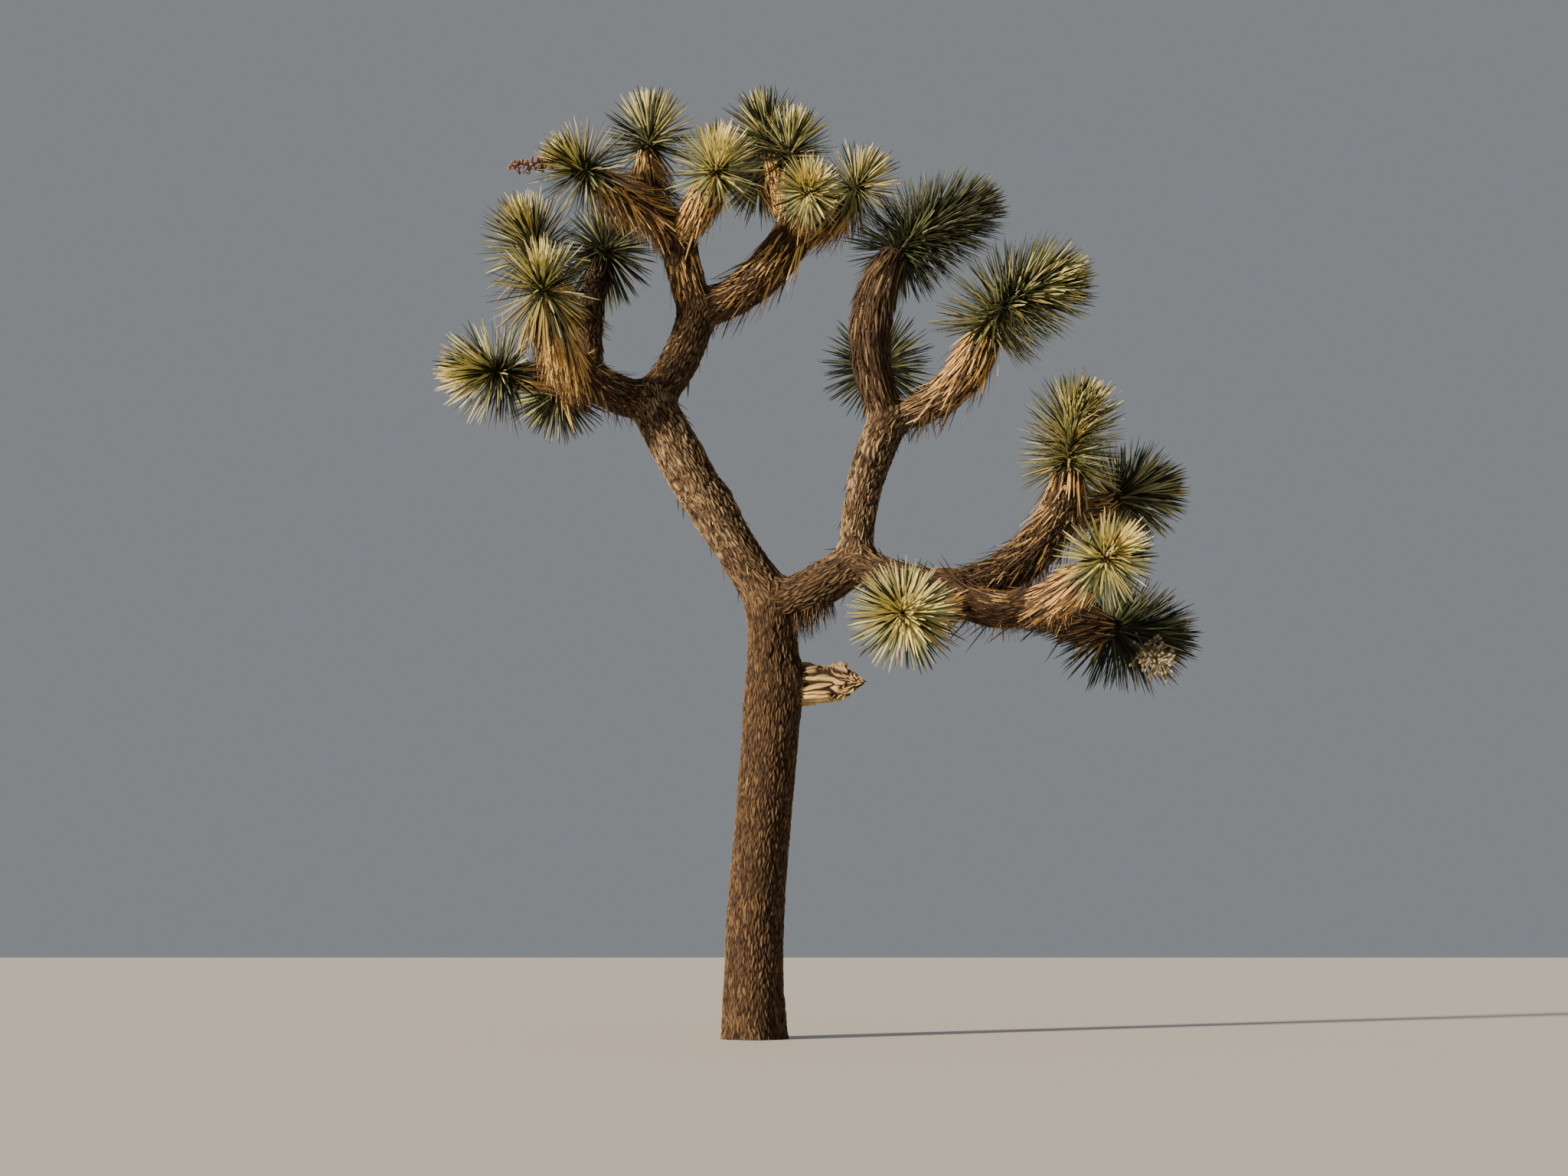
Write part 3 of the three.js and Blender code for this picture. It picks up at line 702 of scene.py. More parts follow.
def ring_faces(rows: int, columns: int) -> tuple[Array, Array]:
    """The faces of a grid that closes round its columns, with a pole before its first row and after its last.

    The points are the rows in turn, then the first pole, then the last. Faces point outwards where the
    columns run anticlockwise as seen from the last row.

    Args:
        rows: How many rings.
        columns: How many points in a ring.

    Returns:
        The quads between rings, and the triangles round the poles.
    """
    row, column = np.meshgrid(np.arange(rows - 1), np.arange(columns), indexing="ij")
    low, high = row * columns, (row + 1) * columns
    after = (column + 1) % columns
    quads = np.stack((low + column, low + after, high + after, high + column), axis=-1).reshape(-1, 4)
    ring = np.arange(columns)
    follow = (ring + 1) % columns
    first, last = rows * columns, rows * columns + 1
    top = (rows - 1) * columns
    start_fan = np.stack((follow, ring, np.full(columns, first)), axis=-1)
    end_fan = np.stack((top + ring, top + follow, np.full(columns, last)), axis=-1)
    return quads, np.concatenate((start_fan, end_fan))


def tube(path: Path, radius: Array, columns: int) -> tuple[Array, Array, Array]:
    """A round closed tube along a path.

    Each ring is the path's point plus the radius times the unit vector out at each turn.

    Args:
        path: The middle line.
        radius: The radius at even shares of the length, one for each ring.
        columns: How many points in a ring.

    Returns:
        Points, quads and triangles.
    """
    share = np.linspace(0, 1, len(radius))
    turn = np.arange(columns) * 2 * math.pi / columns
    grid_share, grid_turn = np.meshgrid(share, turn, indexing="ij")
    rings = path.at(grid_share) + path.out(grid_share, grid_turn) * np.asarray(radius)[:, None, None]
    poles = np.stack((path.at(0.0), path.at(1.0)))
    quads, triangles = ring_faces(len(radius), columns)
    return np.concatenate((rings.reshape(-1, 3), poles)), quads, triangles


# Leaf blades


@dataclass(frozen=True)
class BladeShape:
    """A dagger leaf's form, as shares of its length, half width and thickness.

    The section's points go round the leaf, each as its place towards the keel and across.
    """

    stations: tuple[float, ...]
    widths: tuple[float, ...]
    section: tuple[Pair, ...]

    def mesh(self, batch: Batch, blades: Blades, spine_tint: int) -> None:
        """Add the leaves to a batch as whole arrays.

        A point of a leaf is its root, plus its direction times the share of its length, plus its bend times
        the square of that share, plus the section's two places times the station's width.

        Args:
            batch: Where the leaves go.
            blades: The leaves.
            spine_tint: The material number of their sharp ends.
        """
        count, sides = len(blades.root), len(self.section)
        share = np.array(self.stations)[None, :, None]
        width = np.array(self.widths)[None, :, None]
        keel = np.array([place[0] for place in self.section])[None, None, :]
        across = np.array([place[1] for place in self.section])[None, None, :]
        wide = blades.width[:, None, None] / 2 * width * across
        deep = blades.thickness[:, None, None] * width * keel
        run = blades.length[:, None, None] * share
        grown = (blades.root[:, None, None] + blades.direction[:, None, None] * run[..., None]
                 + blades.bend[:, None, None] * (run * share)[..., None])
        rings = (grown + blades.side[:, None, None] * wide[..., None]
                 + blades.keel[:, None, None] * deep[..., None])
        tips = blades.root + (blades.direction + blades.bend) * blades.length[:, None]
        points = np.concatenate((rings.reshape(count, -1, 3), tips[:, None]), axis=1)
        stations = len(self.stations)
        ring = np.arange(sides)
        follow = (ring + 1) % sides
        levels = np.arange(stations - 1)[:, None] * sides
        quads = np.stack((ring, follow, sides + follow, sides + ring), axis=-1) + levels[..., None]
        top, tip = (stations - 1) * sides, stations * sides
        fan = np.stack((top + ring, top + follow, np.full(sides, tip)), axis=-1)
        cap = np.array([(0, i + 1, i) for i in range(1, sides - 1)])
        steps = (np.arange(count) * (tip + 1))[:, None, None]
        quads = (steps + quads.reshape(-1, 4)).reshape(-1, 4)
        triangles = (steps + np.concatenate((fan, cap))).reshape(-1, 3)
        quad_tints = np.repeat(blades.tint[:, None], (stations - 1) * sides, axis=1)
        fan_tints = np.full((count, sides), spine_tint)
        cap_tints = np.repeat(blades.tint[:, None], sides - 2, axis=1)
        place = np.zeros((stations * sides + 1, 3))
        place[:-1, 0] = np.tile(across[0, 0], stations)
        place[:-1, 1] = np.repeat(self.stations, sides)
        place[-1, 1] = 1.0
        triangle_tints = np.concatenate((fan_tints, cap_tints), axis=1).ravel()
        places = np.tile(place, (count, 1))
        batch.add(points.reshape(-1, 3), quads, triangles, quad_tints.ravel(), triangle_tints, places)


@dataclass
class Blades:
    """Many leaves: a root, a direction and a keel's direction each, with sizes and a material number."""

    root: Array
    direction: Array
    side: Array
    keel: Array
    length: Array
    width: Array
    thickness: Array
    bend: Array
    tint: Array

    @classmethod
    def standing(
        cls, root: Array, direction: Array, down: Array, length: Array, width: Array, thickness: Array,
        bend: Array, tint: Array, roll: Array,
    ) -> Blades:
        """Make leaves whose keels face down, rolled a little about their own length.

        Args:
            root: Where each leaf starts.
            direction: The unit vector each leaf runs along.
            down: The way its keel faces.
            length: Its length.
            width: Its greatest width.
            thickness: Its thickness.
            bend: How far its tip strays, as a share of its length, in each direction.
            tint: Its material number.
            roll: Its turn about its own length, in radians.

        Returns:
            The leaves.
        """
        side = unit(np.cross(direction, down))
        keel = np.cross(side, direction)
        across, towards = turned(side, keel, roll), turned(keel, -side, roll)
        return cls(root, direction, across, towards, length, width, thickness, bend, tint)

    def kept(self, keep: Array) -> Blades:
        """Only the leaves that are marked to keep."""
        return Blades(*(getattr(self, name)[keep] for name in self.__dataclass_fields__))


# Two flat faces over a rounded keel, widest near the clasping base, with a hard spine at the end.
LIVE_BLADE = BladeShape(
    stations=(0.0, 0.12, 0.5, 0.82, 0.96), widths=(1.3, 1.0, 0.88, 0.54, 0.2),
    section=((0.0, -1.0), (0.62, 0.0), (0.0, 1.0), (0.12, 0.0)),
)
# A dead leaf is curled, so that its section is a plain three-sided one.
DEAD_BLADE = BladeShape(
    stations=(0.0, 0.4, 0.8), widths=(1.0, 0.92, 0.45),
    section=((0.0, -1.0), (0.9, 0.0), (0.0, 1.0)),
)


# Finishes


def linear(colour: str) -> tuple[float, float, float, float]:
    """Turn an sRGB colour to linear light.

    A part up to 0.04045 is divided by 12.92. A larger one has 0.055 added, is divided by 1.055 and raised to
    the power 2.4.

    Args:
        colour: The colour, as six hex digits after a hash sign.

    Returns:
        Linear red, green and blue, and full alpha.
    """
    parts = np.array([int(colour[i : i + 2], 16) / 255 for i in (1, 3, 5)])
    low, high = parts / 12.92, ((parts + 0.055) / 1.055) ** 2.4
    red, green, blue = np.where(parts <= 0.04045, low, high)
    return float(red), float(green), float(blue), 1.0


def feed(tree: bpy.types.NodeTree, node: bpy.types.Node, inputs: dict[str | int, Any]) -> None:
    """Give a shader node its inputs.

    Args:
        tree: The material's node tree.
        node: The node.
        inputs: For each input's name or number, a value or the output that feeds it.
    """
    for name, value in inputs.items():
        if isinstance(value, bpy.types.NodeSocket):
            tree.links.new(value, node.inputs[name])
        else:
            node.inputs[name].default_value = value


def add_node(
    tree: bpy.types.NodeTree, kind: str, inputs: dict[str | int, Any], **settings: Any
) -> bpy.types.Node:
    """Add a shader node with its settings, values and links.

    Args:
        tree: The material's node tree.
        kind: The node's type, without the words that all of them start with.
        inputs: For each input's name or number, a value or the output that feeds it.
        settings: The node's own settings.

    Returns:
        The node.
    """
    node = tree.nodes.new(f"ShaderNode{kind}")
    for name, value in settings.items():
        setattr(node, name, value)
    feed(tree, node, inputs)
    return node


def new_material(name: str) -> tuple[bpy.types.Material, bpy.types.NodeTree, bpy.types.Node]:
    """Make a material with a Principled shader.

    Args:
        name: What it is, as its finish names it.

    Returns:
        The material, its node tree and the shader.
    """
    material = bpy.data.materials.new(name)
    material.use_nodes = True
    tree = material.node_tree
    return material, tree, tree.nodes["Principled BSDF"]


# The inputs of a node that mixes colours, and its output.
MIX_FACTOR, MIX_A, MIX_B, MIX_COLOUR = 0, 6, 7, 2


@dataclass(frozen=True)
class BarkFinish:
    """Corky yucca bark: matt, with furrows darkened by painted shade round weathered plates of coarse fibre.

    The fibres' sizes and the blotches' are in metres. raised is where the furrow's colour begins to give way
    and where the plate's is full, in relief and fibres taken together.
    """

    name: str
    furrow: str
    plate: str
    weathered: str
    fibre_width: float = 0.0035
    fibre_length: float = 0.028
    fibre_depth: float = 0.0016
    fibre_bump: float = 0.9
    blotch: float = 0.16
    raised: Pair = (0.5, 1.25)
    roughness: float = 0.92
    specular: float = 0.25

    def material(self) -> bpy.types.Material:
        """Build the material.

        Stretched noise along the limb is the fibres. The relief times the fibres, plus the fibres, mixes the
        furrow's colour, a brown darkened as painted shade, to the plate's. The plate's own number and soft
        blotches mix in the weathered one.

        Returns:
            The material.
        """
        material, tree, shader = new_material(self.name)
        add = partial(add_node, tree)
        relief = add("Attribute", {}, attribute_name="relief").outputs["Fac"]
        mark = add("Attribute", {}, attribute_name="plate").outputs["Fac"]
        place = add("Attribute", {}, attribute_name="along_bark").outputs["Vector"]
        scale = (1 / self.fibre_width, 1 / self.fibre_width, 1 / self.fibre_length)
        stretched = add("Mapping", {"Vector": place, "Scale": scale}).outputs[0]
        fibre = add("TexNoise", {"Vector": stretched, "Scale": 1.0, "Detail": 4.0}).outputs["Fac"]
        blotches = add("TexNoise", {"Vector": place, "Scale": 1 / self.blotch, "Detail": 3.0}).outputs["Fac"]
        grown = add("Math", {0: relief, 1: fibre, 2: fibre}, operation="MULTIPLY_ADD").outputs[0]
        low, high = self.raised
        raised = add("MapRange", {"Value": grown, "From Min": low, "From Max": high}).outputs[0]
        bare = {MIX_FACTOR: raised, MIX_A: linear(self.furrow), MIX_B: linear(self.plate)}
        base = add("Mix", bare, data_type="RGBA").outputs[MIX_COLOUR]
        worn = add("Math", {0: mark, 1: blotches}, operation="MULTIPLY").outputs[0]
        shown = add("Math", {0: worn, 1: raised}, operation="MULTIPLY").outputs[0]
        tints_by_age_and_shade = {MIX_FACTOR: shown, MIX_A: base, MIX_B: linear(self.weathered)}
        colour = add("Mix", tints_by_age_and_shade, data_type="RGBA").outputs[MIX_COLOUR]
        bump = add("Bump", {"Height": fibre, "Strength": self.fibre_bump, "Distance": self.fibre_depth})
        feed(tree, shader, {"Base Color": colour, "Normal": bump.outputs["Normal"],
                            "Roughness": self.roughness, "Specular IOR Level": self.specular})
        return material


@dataclass(frozen=True)
class BladeFinish:
    """A yucca leaf, alive or dead: one tint for each leaf, with fine ribs along it."""

    name: str
    colour: str
    roughness: float
    ribs: float = 9.0
    rib_stray: float = 1.5
    rib_depth: float = 0.0005
    rib_bump: float = 0.5
    specular: float = 0.5

    def material(self) -> bpy.types.Material:
        """Build the material: a plain tint, and bands across the leaf as the height of its ribs.

        Returns:
            The material.
        """
        material, tree, shader = new_material(self.name)
        add = partial(add_node, tree)
        place = add("Attribute", {}, attribute_name="blade").outputs["Vector"]
        ribs = {"Vector": place, "Scale": self.ribs, "Distortion": self.rib_stray, "Detail": 1.0}
        bands = add("TexWave", ribs, bands_direction="X").outputs["Fac"]
        bump = add("Bump", {"Height": bands, "Strength": self.rib_bump, "Distance": self.rib_depth})
        feed(tree, shader, {"Base Color": linear(self.colour), "Normal": bump.outputs["Normal"],
                            "Roughness": self.roughness, "Specular IOR Level": self.specular})
        return material


@dataclass(frozen=True)
class DeadWoodFinish:
    """Wood weathered bare: pale ridges of grain with checks between them painted dark as shade, and brown
    grey on top.

    The grain's sizes are in metres. Each pair is where the second colour of a mix begins and is full.
    """

    name: str = "weathered yucca wood"
    ridge: str = "#DFC48A"
    # The checks' colour is painted shade in the grooves of the grain.
    check: str = "#2A1C11"
    grey: str = "#AA8D5D"
    top: str = "#7C6650"
    grain_width: float = 0.004
    grain_length: float = 0.07
    grain_depth: float = 0.002
    grain_bump: float = 0.8
    streaks: Pair = (0.4, 0.7)
    raised: Pair = (0.08, 0.5)
    top_share: float = 0.8
    roughness: float = 0.85
    specular: float = 0.3

    def material(self) -> bpy.types.Material:
        """Build the material: the relief mixes the checks' painted shade to ridge, long noise the greys, and
        the top is darker.

        Returns:
            The material.
        """
        material, tree, shader = new_material(self.name)
        add = partial(add_node, tree)
        relief = add("Attribute", {}, attribute_name="relief").outputs["Fac"]
        place = add("Attribute", {}, attribute_name="along_bark").outputs["Vector"]
        upper = add("Attribute", {}, attribute_name="plate").outputs["Fac"]
        scale = (1 / self.grain_width, 1 / self.grain_width, 1 / self.grain_length)
        stretched = add("Mapping", {"Vector": place, "Scale": scale}).outputs[0]
        grain = add("TexNoise", {"Vector": stretched, "Scale": 1.0, "Detail": 5.0}).outputs["Fac"]
        low, high = self.streaks
        streak = add("MapRange", {"Value": grain, "From Min": low, "From Max": high}).outputs[0]
        streaked = {MIX_FACTOR: streak, MIX_A: linear(self.grey), MIX_B: linear(self.ridge)}
        tone = add("Mix", streaked, data_type="RGBA").outputs[MIX_COLOUR]
        faded = add("Math", {0: upper, 1: self.top_share}, operation="MULTIPLY").outputs[0]
        topped = {MIX_FACTOR: faded, MIX_A: tone, MIX_B: linear(self.top)}
        weathered = add("Mix", topped, data_type="RGBA").outputs[MIX_COLOUR]
        low, high = self.raised
        raised = add("MapRange", {"Value": relief, "From Min": low, "From Max": high}).outputs[0]
        checked = {MIX_FACTOR: raised, MIX_A: linear(self.check), MIX_B: weathered}
        colour = add("Mix", checked, data_type="RGBA").outputs[MIX_COLOUR]
        bump = add("Bump", {"Height": grain, "Strength": self.grain_bump, "Distance": self.grain_depth})
        feed(tree, shader, {"Base Color": colour, "Normal": bump.outputs["Normal"],
                            "Roughness": self.roughness, "Specular IOR Level": self.specular})
        return material


# Live leaves have a waxy bloom, so that they are half matt: yellow at the heart, green to grey-green below.
LIVE_TINTS = (
    BladeFinish("leaf at the heart", "#EADC8E", 0.45, specular=0.35),
    BladeFinish("leaf yellow green", "#D9CF84", 0.45, specular=0.35),
    BladeFinish("leaf green", "#B2B173", 0.47, specular=0.35),
    BladeFinish("leaf grey green", "#868D66", 0.5, specular=0.35),
    BladeFinish("leaf olive", "#576042", 0.52, specular=0.3),
    BladeFinish("leaf drying", "#9E884A", 0.6, specular=0.3),
    # The leaf's end is a hard spine, brown as horn.
    BladeFinish("leaf spine", "#6E4A2C", 0.35),
    # The core under the leaves is pith and leaf bases, in shade.
    BladeFinish("leafy core", "#2C2C18", 0.8, specular=0.2),
    # Painted shade: a share of the leaves are deep green for the shade between them, which sets the pale ones
    # off.
    BladeFinish("leaf deep green", "#282E1A", 0.55, specular=0.25),
)
YELLOW, OLIVE, DRYING, SPINE, CORE, PAINTED_SHADE = 0, 4, 5, 6, 7, 8

# Dead leaves bleach to straw where they hang newest, and go brown and grey with age.
DEAD_TINTS = (
    BladeFinish("dead leaf straw", "#ECC476", 0.65, specular=0.25),
    BladeFinish("dead leaf gold", "#D5A65E", 0.68, specular=0.25),
    BladeFinish("dead leaf tan", "#B09268", 0.72, specular=0.25),
    BladeFinish("dead leaf brown", "#86704F", 0.78, specular=0.25),
    BladeFinish("dead leaf grey brown", "#564636", 0.85, specular=0.2),
    BladeFinish("dead leaf old", "#35281C", 0.9, specular=0.2),
)
STRAW, OLD = 0, 5

# Corky bark, brown in the furrows and darkened there nearly to black as painted shade, and bleached to grey
# tan on the plates.
TRUNK_BARK = BarkFinish("trunk bark", furrow="#170F09", plate="#6A5037", weathered="#967A56")
BOUGH_BARK = BarkFinish(
    "bough bark", furrow="#140D07", plate="#71573C", weathered="#C0A77E", fibre_width=0.003,
    fibre_length=0.035,
)
# The dry flower stalk keeps a red brown skin.
STALK_FINISH = BladeFinish("dry flower stalk", "#7E6256", 0.75, specular=0.3)
BLEACHED_STALK = BladeFinish("bleached flower stalk", "#8F8467", 0.8, specular=0.3)


# Bark


@dataclass(frozen=True)
class Grain:
    """Narrow strips that weave past each other along a limb, each with its own height and its fibres.

    Each sway is its size in strips, how many strips one wave takes in, how many waves there are in a strip's
    length, and which waves. slide is how far strips slide along past each other, in their lengths, and
    slide_run how often that changes in one. furrow is how wide the furrows are, and tone how far the strips'
    heights differ. fibres and fibre_run are how many fibres a strip has across and along, and fibre_tone the
    least share that they leave of the height and the range above it. The last two are which noise is used.
    """

    sways: tuple[tuple[float, int, float, int], ...]
    slide: float
    slide_run: float
    furrow: float
    tone: float
    fibres: int
    fibre_run: float
    fibre_tone: Pair
    slide_noise: int
    fibre_noise: int

    def relief(self, a: Array, b: Array, around: int, seed: int) -> tuple[Array, Array]:
        """Work out the relief on a sheet that closes on itself.

        Each strip is a cell of the sheet, which sways across and slides along. The relief is the distance to
        the cell's edge, smoothed, times the cell's own height and its fibres.

        Args:
            a: Places across the sheet, in strips.
            b: Places along the sheet, in strips.
            around: How many strips go round.
            seed: Which strips.

        Returns:
            The relief, from 0 in a furrow to 1, and the strip's own number from 0 to 1.
        """
        sway = sum(size * (cloud(a / wide, b * waves, around // wide, seed + noise) - 0.5)
                   for size, wide, waves, noise in self.sways)
        slid = b + self.slide * cloud(a, b * self.slide_run, around, seed + self.slide_noise)
        edge, mark = plates(a + sway, slid, around, seed)
        across = (a + sway) * self.fibres
        fibres = cloud(across, b * self.fibre_run, around * self.fibres, seed + self.fibre_noise)
        least, rest = self.fibre_tone
        height = smooth_step(edge / self.furrow) * (1 - self.tone + self.tone * mark)
        return np.clip(height * (least + rest * fibres), 0, 1), mark


BARK_GRAIN = Grain(
    sways=((1.4, 4, 0.9, 5), (0.7, 2, 2.1, 6)), slide=2.2, slide_run=0.35, furrow=0.55, tone=0.45, fibres=3,
    fibre_run=2.6, fibre_tone=(0.75, 0.35), slide_noise=9, fibre_noise=8,
)
WOOD_GRAIN = Grain(
    sways=((5.4, 6, 2.2, 5), (1.9, 2, 5.5, 8)), slide=2.0, slide_run=0.5, furrow=0.5, tone=0.5, fibres=4,
    fibre_run=2.5, fibre_tone=(0.6, 0.6), slide_noise=6, fibre_noise=1,
)


@dataclass(frozen=True)
class BarkRelief:
    """How deep and how large the strips of the bark are, in metres.

    middle is the relief that lies on the limb's own surface. Slow lumps of the size lump, which are longer
    than wide by lump_stretch, add lump_share of the depth.
    """

    strip_width: float
    strip_length: float
    depth: float
    middle: float = 0.6
    lump_share: float = 0.8
    lump: float = 0.12
    lump_stretch: float = 1.6

    def height(self, turn: Array, run: Array, girth: float, seed: int) -> tuple[Array, Array, Array]:
        """Work out the bark's height on a limb's grid: the grain's relief, plus slow lumps.

        Args:
            turn: The angle about the limb of each point.
            run: The length along the limb of each point.
            girth: The limb's mean way round, in metres.
            seed: Which bark.

        Returns:
            The height of each point in metres, its relief from 0 in a furrow to 1, and its strip's number.
        """
        around = 4 * max(3, round(girth / self.strip_width / 4))
        relief, mark = BARK_GRAIN.relief(turn / (2 * math.pi) * around, run / self.strip_length, around, seed)
        lumps = max(3, round(girth / self.lump))
        slow = cloud(turn / (2 * math.pi) * lumps, run / (self.lump * self.lump_stretch), lumps, seed + 7)
        height = self.depth * (relief - self.middle) + self.depth * self.lump_share * (slow - 0.5)
        return height, relief, mark


@dataclass(frozen=True)
class Fissure:
    """A deep split along the trunk: the way it faces, the heights it runs between, its width and depth.

    It fades out over taper at either end, and strays by sway to either side. wave is the length that one
    radian of that takes, and phase times the way that the split faces is where it starts.
    """

    facing: float
    low: float
    high: float
    width: float = 0.008
    depth: float = 0.014
    taper: float = 0.05
    sway: float = 0.007
    wave: float = 0.014
    phase: float = 9.0

    def share(self, turn: Array, run: Array, radius: Array) -> Array:
        """How deep each point lies in the split: a bell curve across it, times a smooth rise at either end.

        Args:
            turn: The angle about the trunk of each point.
            run: The length along the trunk of each point.
            radius: The trunk's radius there.

        Returns:
            A number from 0 outside the split to 1 at its deepest.
        """
        across = ((turn - self.facing + math.pi) % (2 * math.pi) - math.pi) * radius
        across = across + self.sway * np.sin(run / self.wave + self.phase * self.facing)
        along = smooth_step((run - self.low) / self.taper) * smooth_step((self.high - run) / self.taper)
        return np.exp(-((across / self.width) ** 2)) * along


class BarkSkin:
    """The bark of the trunk and boughs: one closed skin a limb, swollen where limbs join."""

    STEP_AROUND = 0.0036
    STEP_ALONG = 0.007
    GIRTH_READS = 9
    # Limbs nearer than BLEND melt into each other, in a few steps, and a skin swells by MOST_SWELL at most.
    BLEND = 0.036
    MOST_SWELL = 0.05
    SWELL_STEPS = 6
    # A neighbour's skin comes this near to a limb's middle line, which is read at about so many points.
    NEAR = 0.2
    NEAR_READS = 4000
    # Where another limb's bark lies nearer, this one sinks under it, so that one relief alone shows.
    GIVE_WAY = 0.024
    SINK = 0.011
    DOME_ROWS = 12
    # The trunk's foot flares in soft lobes.
    FLARE = 0.014
    FLARE_HEIGHT = 0.1
    FLARE_LOBES = 5
    FLARE_TURN = 1.1
    LOBE_MEAN = 0.6
    LOBE_RANGE = 0.4
    # The trunk has five splits on its front, above the stub, whose insides are painted dark as shade.
    FISSURES = (
        Fissure(4.71, 1.94, 2.08), Fissure(5.08, 1.9, 2.06), Fissure(5.45, 2.08, 2.27),
        Fissure(5.7, 1.94, 2.12), Fissure(4.9, 2.06, 2.18),
    )
    SPLIT_SHADE = 0.85
    # How far the start of a limb draws in under the skin of the one that it grows from.
    DRAW_IN = 0.16
    # Each limb's fibres and blotches are read this far from the last one's. POLES is the relief, and also
    # how weathered it is, at the points that close its ends.
    PATTERN_STEP = 3.0
    POLES = (0.5, 0.5)

    def __init__(self, skeleton: Skeleton) -> None:
        """Keep the skeleton and build the two barks.

        Args:
            skeleton: The limbs.
        """
        self.skeleton = skeleton
        self.trunk_bark = TRUNK_BARK.material()
        self.bough_bark = BOUGH_BARK.material()
        self.trunk_relief = BarkRelief(strip_width=0.0155, strip_length=0.066, depth=0.009)
        self.bough_relief = BarkRelief(strip_width=0.0185, strip_length=0.07, depth=0.0105, lump=0.1)

    def rows(self, limb: Limb) -> tuple[Array, Array]:
        """Place a limb's rings. Those of its ends lean over a half ball, but not over the trunk's flat foot.

        Args:
            limb: The limb.

        Returns:
            The share of the length of each ring, and how far it leans over its end, in radians.
        """
        count = int(limb.path.length / self.STEP_ALONG)
        lean = np.linspace(math.pi / 2, 0, self.DOME_ROWS, endpoint=False)[1:]
        start = np.zeros(0) if limb.name == "trunk" else -lean
        share = np.concatenate((np.zeros(len(start)), np.linspace(0, 1, count), np.ones(len(lean))))
        return share, np.concatenate((start, np.zeros(count), lean[::-1]))

    def swollen(self, limb: Limb, origin: Array, ray: Array, radius: Array) -> Array:
        """Grow each ray until it meets the smooth union of the limb with its neighbours.

        The union's field is the least of the distances to the limbs, less a quarter of the blend times the
        square of how near the two least ones are, as a share of the blend. Each ray grows by that field.

        Args:
            limb: The limb.
            origin: The points on its middle line, one for each ray.
            ray: Unit vectors.
            radius: The limb's own radius at each ray.

        Returns:
            The reach of each ray.
        """
        reach = radius.copy()
        near = np.zeros(len(origin), bool)
        others = self.skeleton.neighbours(limb, origin[:: max(1, len(origin) // self.NEAR_READS)], self.NEAR)
        for name in others:
            near |= self.skeleton.distance(name, origin) < radius + self.BLEND
        base, start, own = radius[near], origin[near], reach[near]
        for _ in range(self.SWELL_STEPS):
            place = start + ray[near] * own[:, None]
            field_value = own - base
            for name in others:
                other = self.skeleton.distance(name, place)
                overlap = np.maximum(self.BLEND - np.abs(field_value - other), 0) / self.BLEND
                field_value = np.minimum(field_value, other) - overlap**2 * self.BLEND / 4
            own = np.clip(own - field_value, base, base + self.MOST_SWELL)
        place = start + ray[near] * own[:, None]
        nearest = np.min([self.skeleton.distance(name, place) for name in others], axis=0)
        reach[near] = own - self.SINK * smooth_step((own - base - nearest) / self.GIVE_WAY)
        return reach

    def build(self, limb: Limb, seed: int) -> bpy.types.Object:
        """Make the skin of one limb.

        A point is the middle line's point plus its ray times the swollen radius and the bark's height, on a
        grid of rings and turns.

        Args:
            limb: The limb.
            seed: Which bark.

        Returns:
            The finished piece.
        """
        trunk = limb.name == "trunk"
        relief_rule = self.trunk_relief if trunk else self.bough_relief
        share, lean = self.rows(limb)
        girth = 2 * math.pi * float(limb.radius(np.linspace(0, 1, self.GIRTH_READS)).mean())
        columns = int(girth / self.STEP_AROUND)
        turn = np.arange(columns) * 2 * math.pi / columns
        grid_share, grid_turn = np.meshgrid(share, turn, indexing="ij")
        grid_lean = np.broadcast_to(lean[:, None], grid_share.shape)
        ray = turned(limb.path.out(grid_share, grid_turn), limb.path.along(grid_share), grid_lean)
        origin = limb.path.at(grid_share)
        radius = limb.radius(grid_share)
        run = grid_share * limb.path.length + grid_lean * radius
        height, relief, mark = relief_rule.height(grid_turn, run, girth, seed)
        grown = self.swollen(limb, origin.reshape(-1, 3), ray.reshape(-1, 3), radius.ravel())
        reach = radius + (grown.reshape(grid_share.shape) - radius) * np.cos(grid_lean) ** 2 + height
        reach *= 1 - self.DRAW_IN * np.sin(np.minimum(grid_lean, 0)) ** 2
        if trunk:
            lobes = self.LOBE_MEAN + self.LOBE_RANGE * np.cos(self.FLARE_LOBES * grid_turn + self.FLARE_TURN)
            reach += self.FLARE * lobes * np.exp(-run / self.FLARE_HEIGHT)
            for fissure in self.FISSURES:
                split = fissure.share(grid_turn, run, radius)
                reach -= fissure.depth * split
                relief = relief * (1 - self.SPLIT_SHADE * split)
        points = origin + ray * reach[..., None]
        ends = np.stack((limb.path.at(0.0), limb.path.at(1.0)))
        if trunk:
            points[0, :, 2] = 0.0
        else:
            ends[0] -= limb.path.along(0.0) * float(limb.radius(0.0))
        ends[1] += limb.path.along(1.0) * float(reach[-1].mean())
        quads, triangles = ring_faces(len(share), columns)
        batch = Batch()
        batch.add(np.concatenate((points.reshape(-1, 3), ends)), quads, triangles)
        piece = batch.to_object(f"bark_{limb.name}", [self.trunk_bark if trunk else self.bough_bark], True)
        around = girth / (2 * math.pi)
        along = np.stack((np.cos(grid_turn) * around, np.sin(grid_turn) * around, run), axis=-1)
        along = np.concatenate((along.reshape(-1, 3), ((0, 0, 0), (0, 0, limb.path.length))))
        write_values(piece, "along_bark", along + np.array((self.PATTERN_STEP * seed, 0, 0)))
        write_values(piece, "relief", np.append(relief.ravel(), self.POLES))
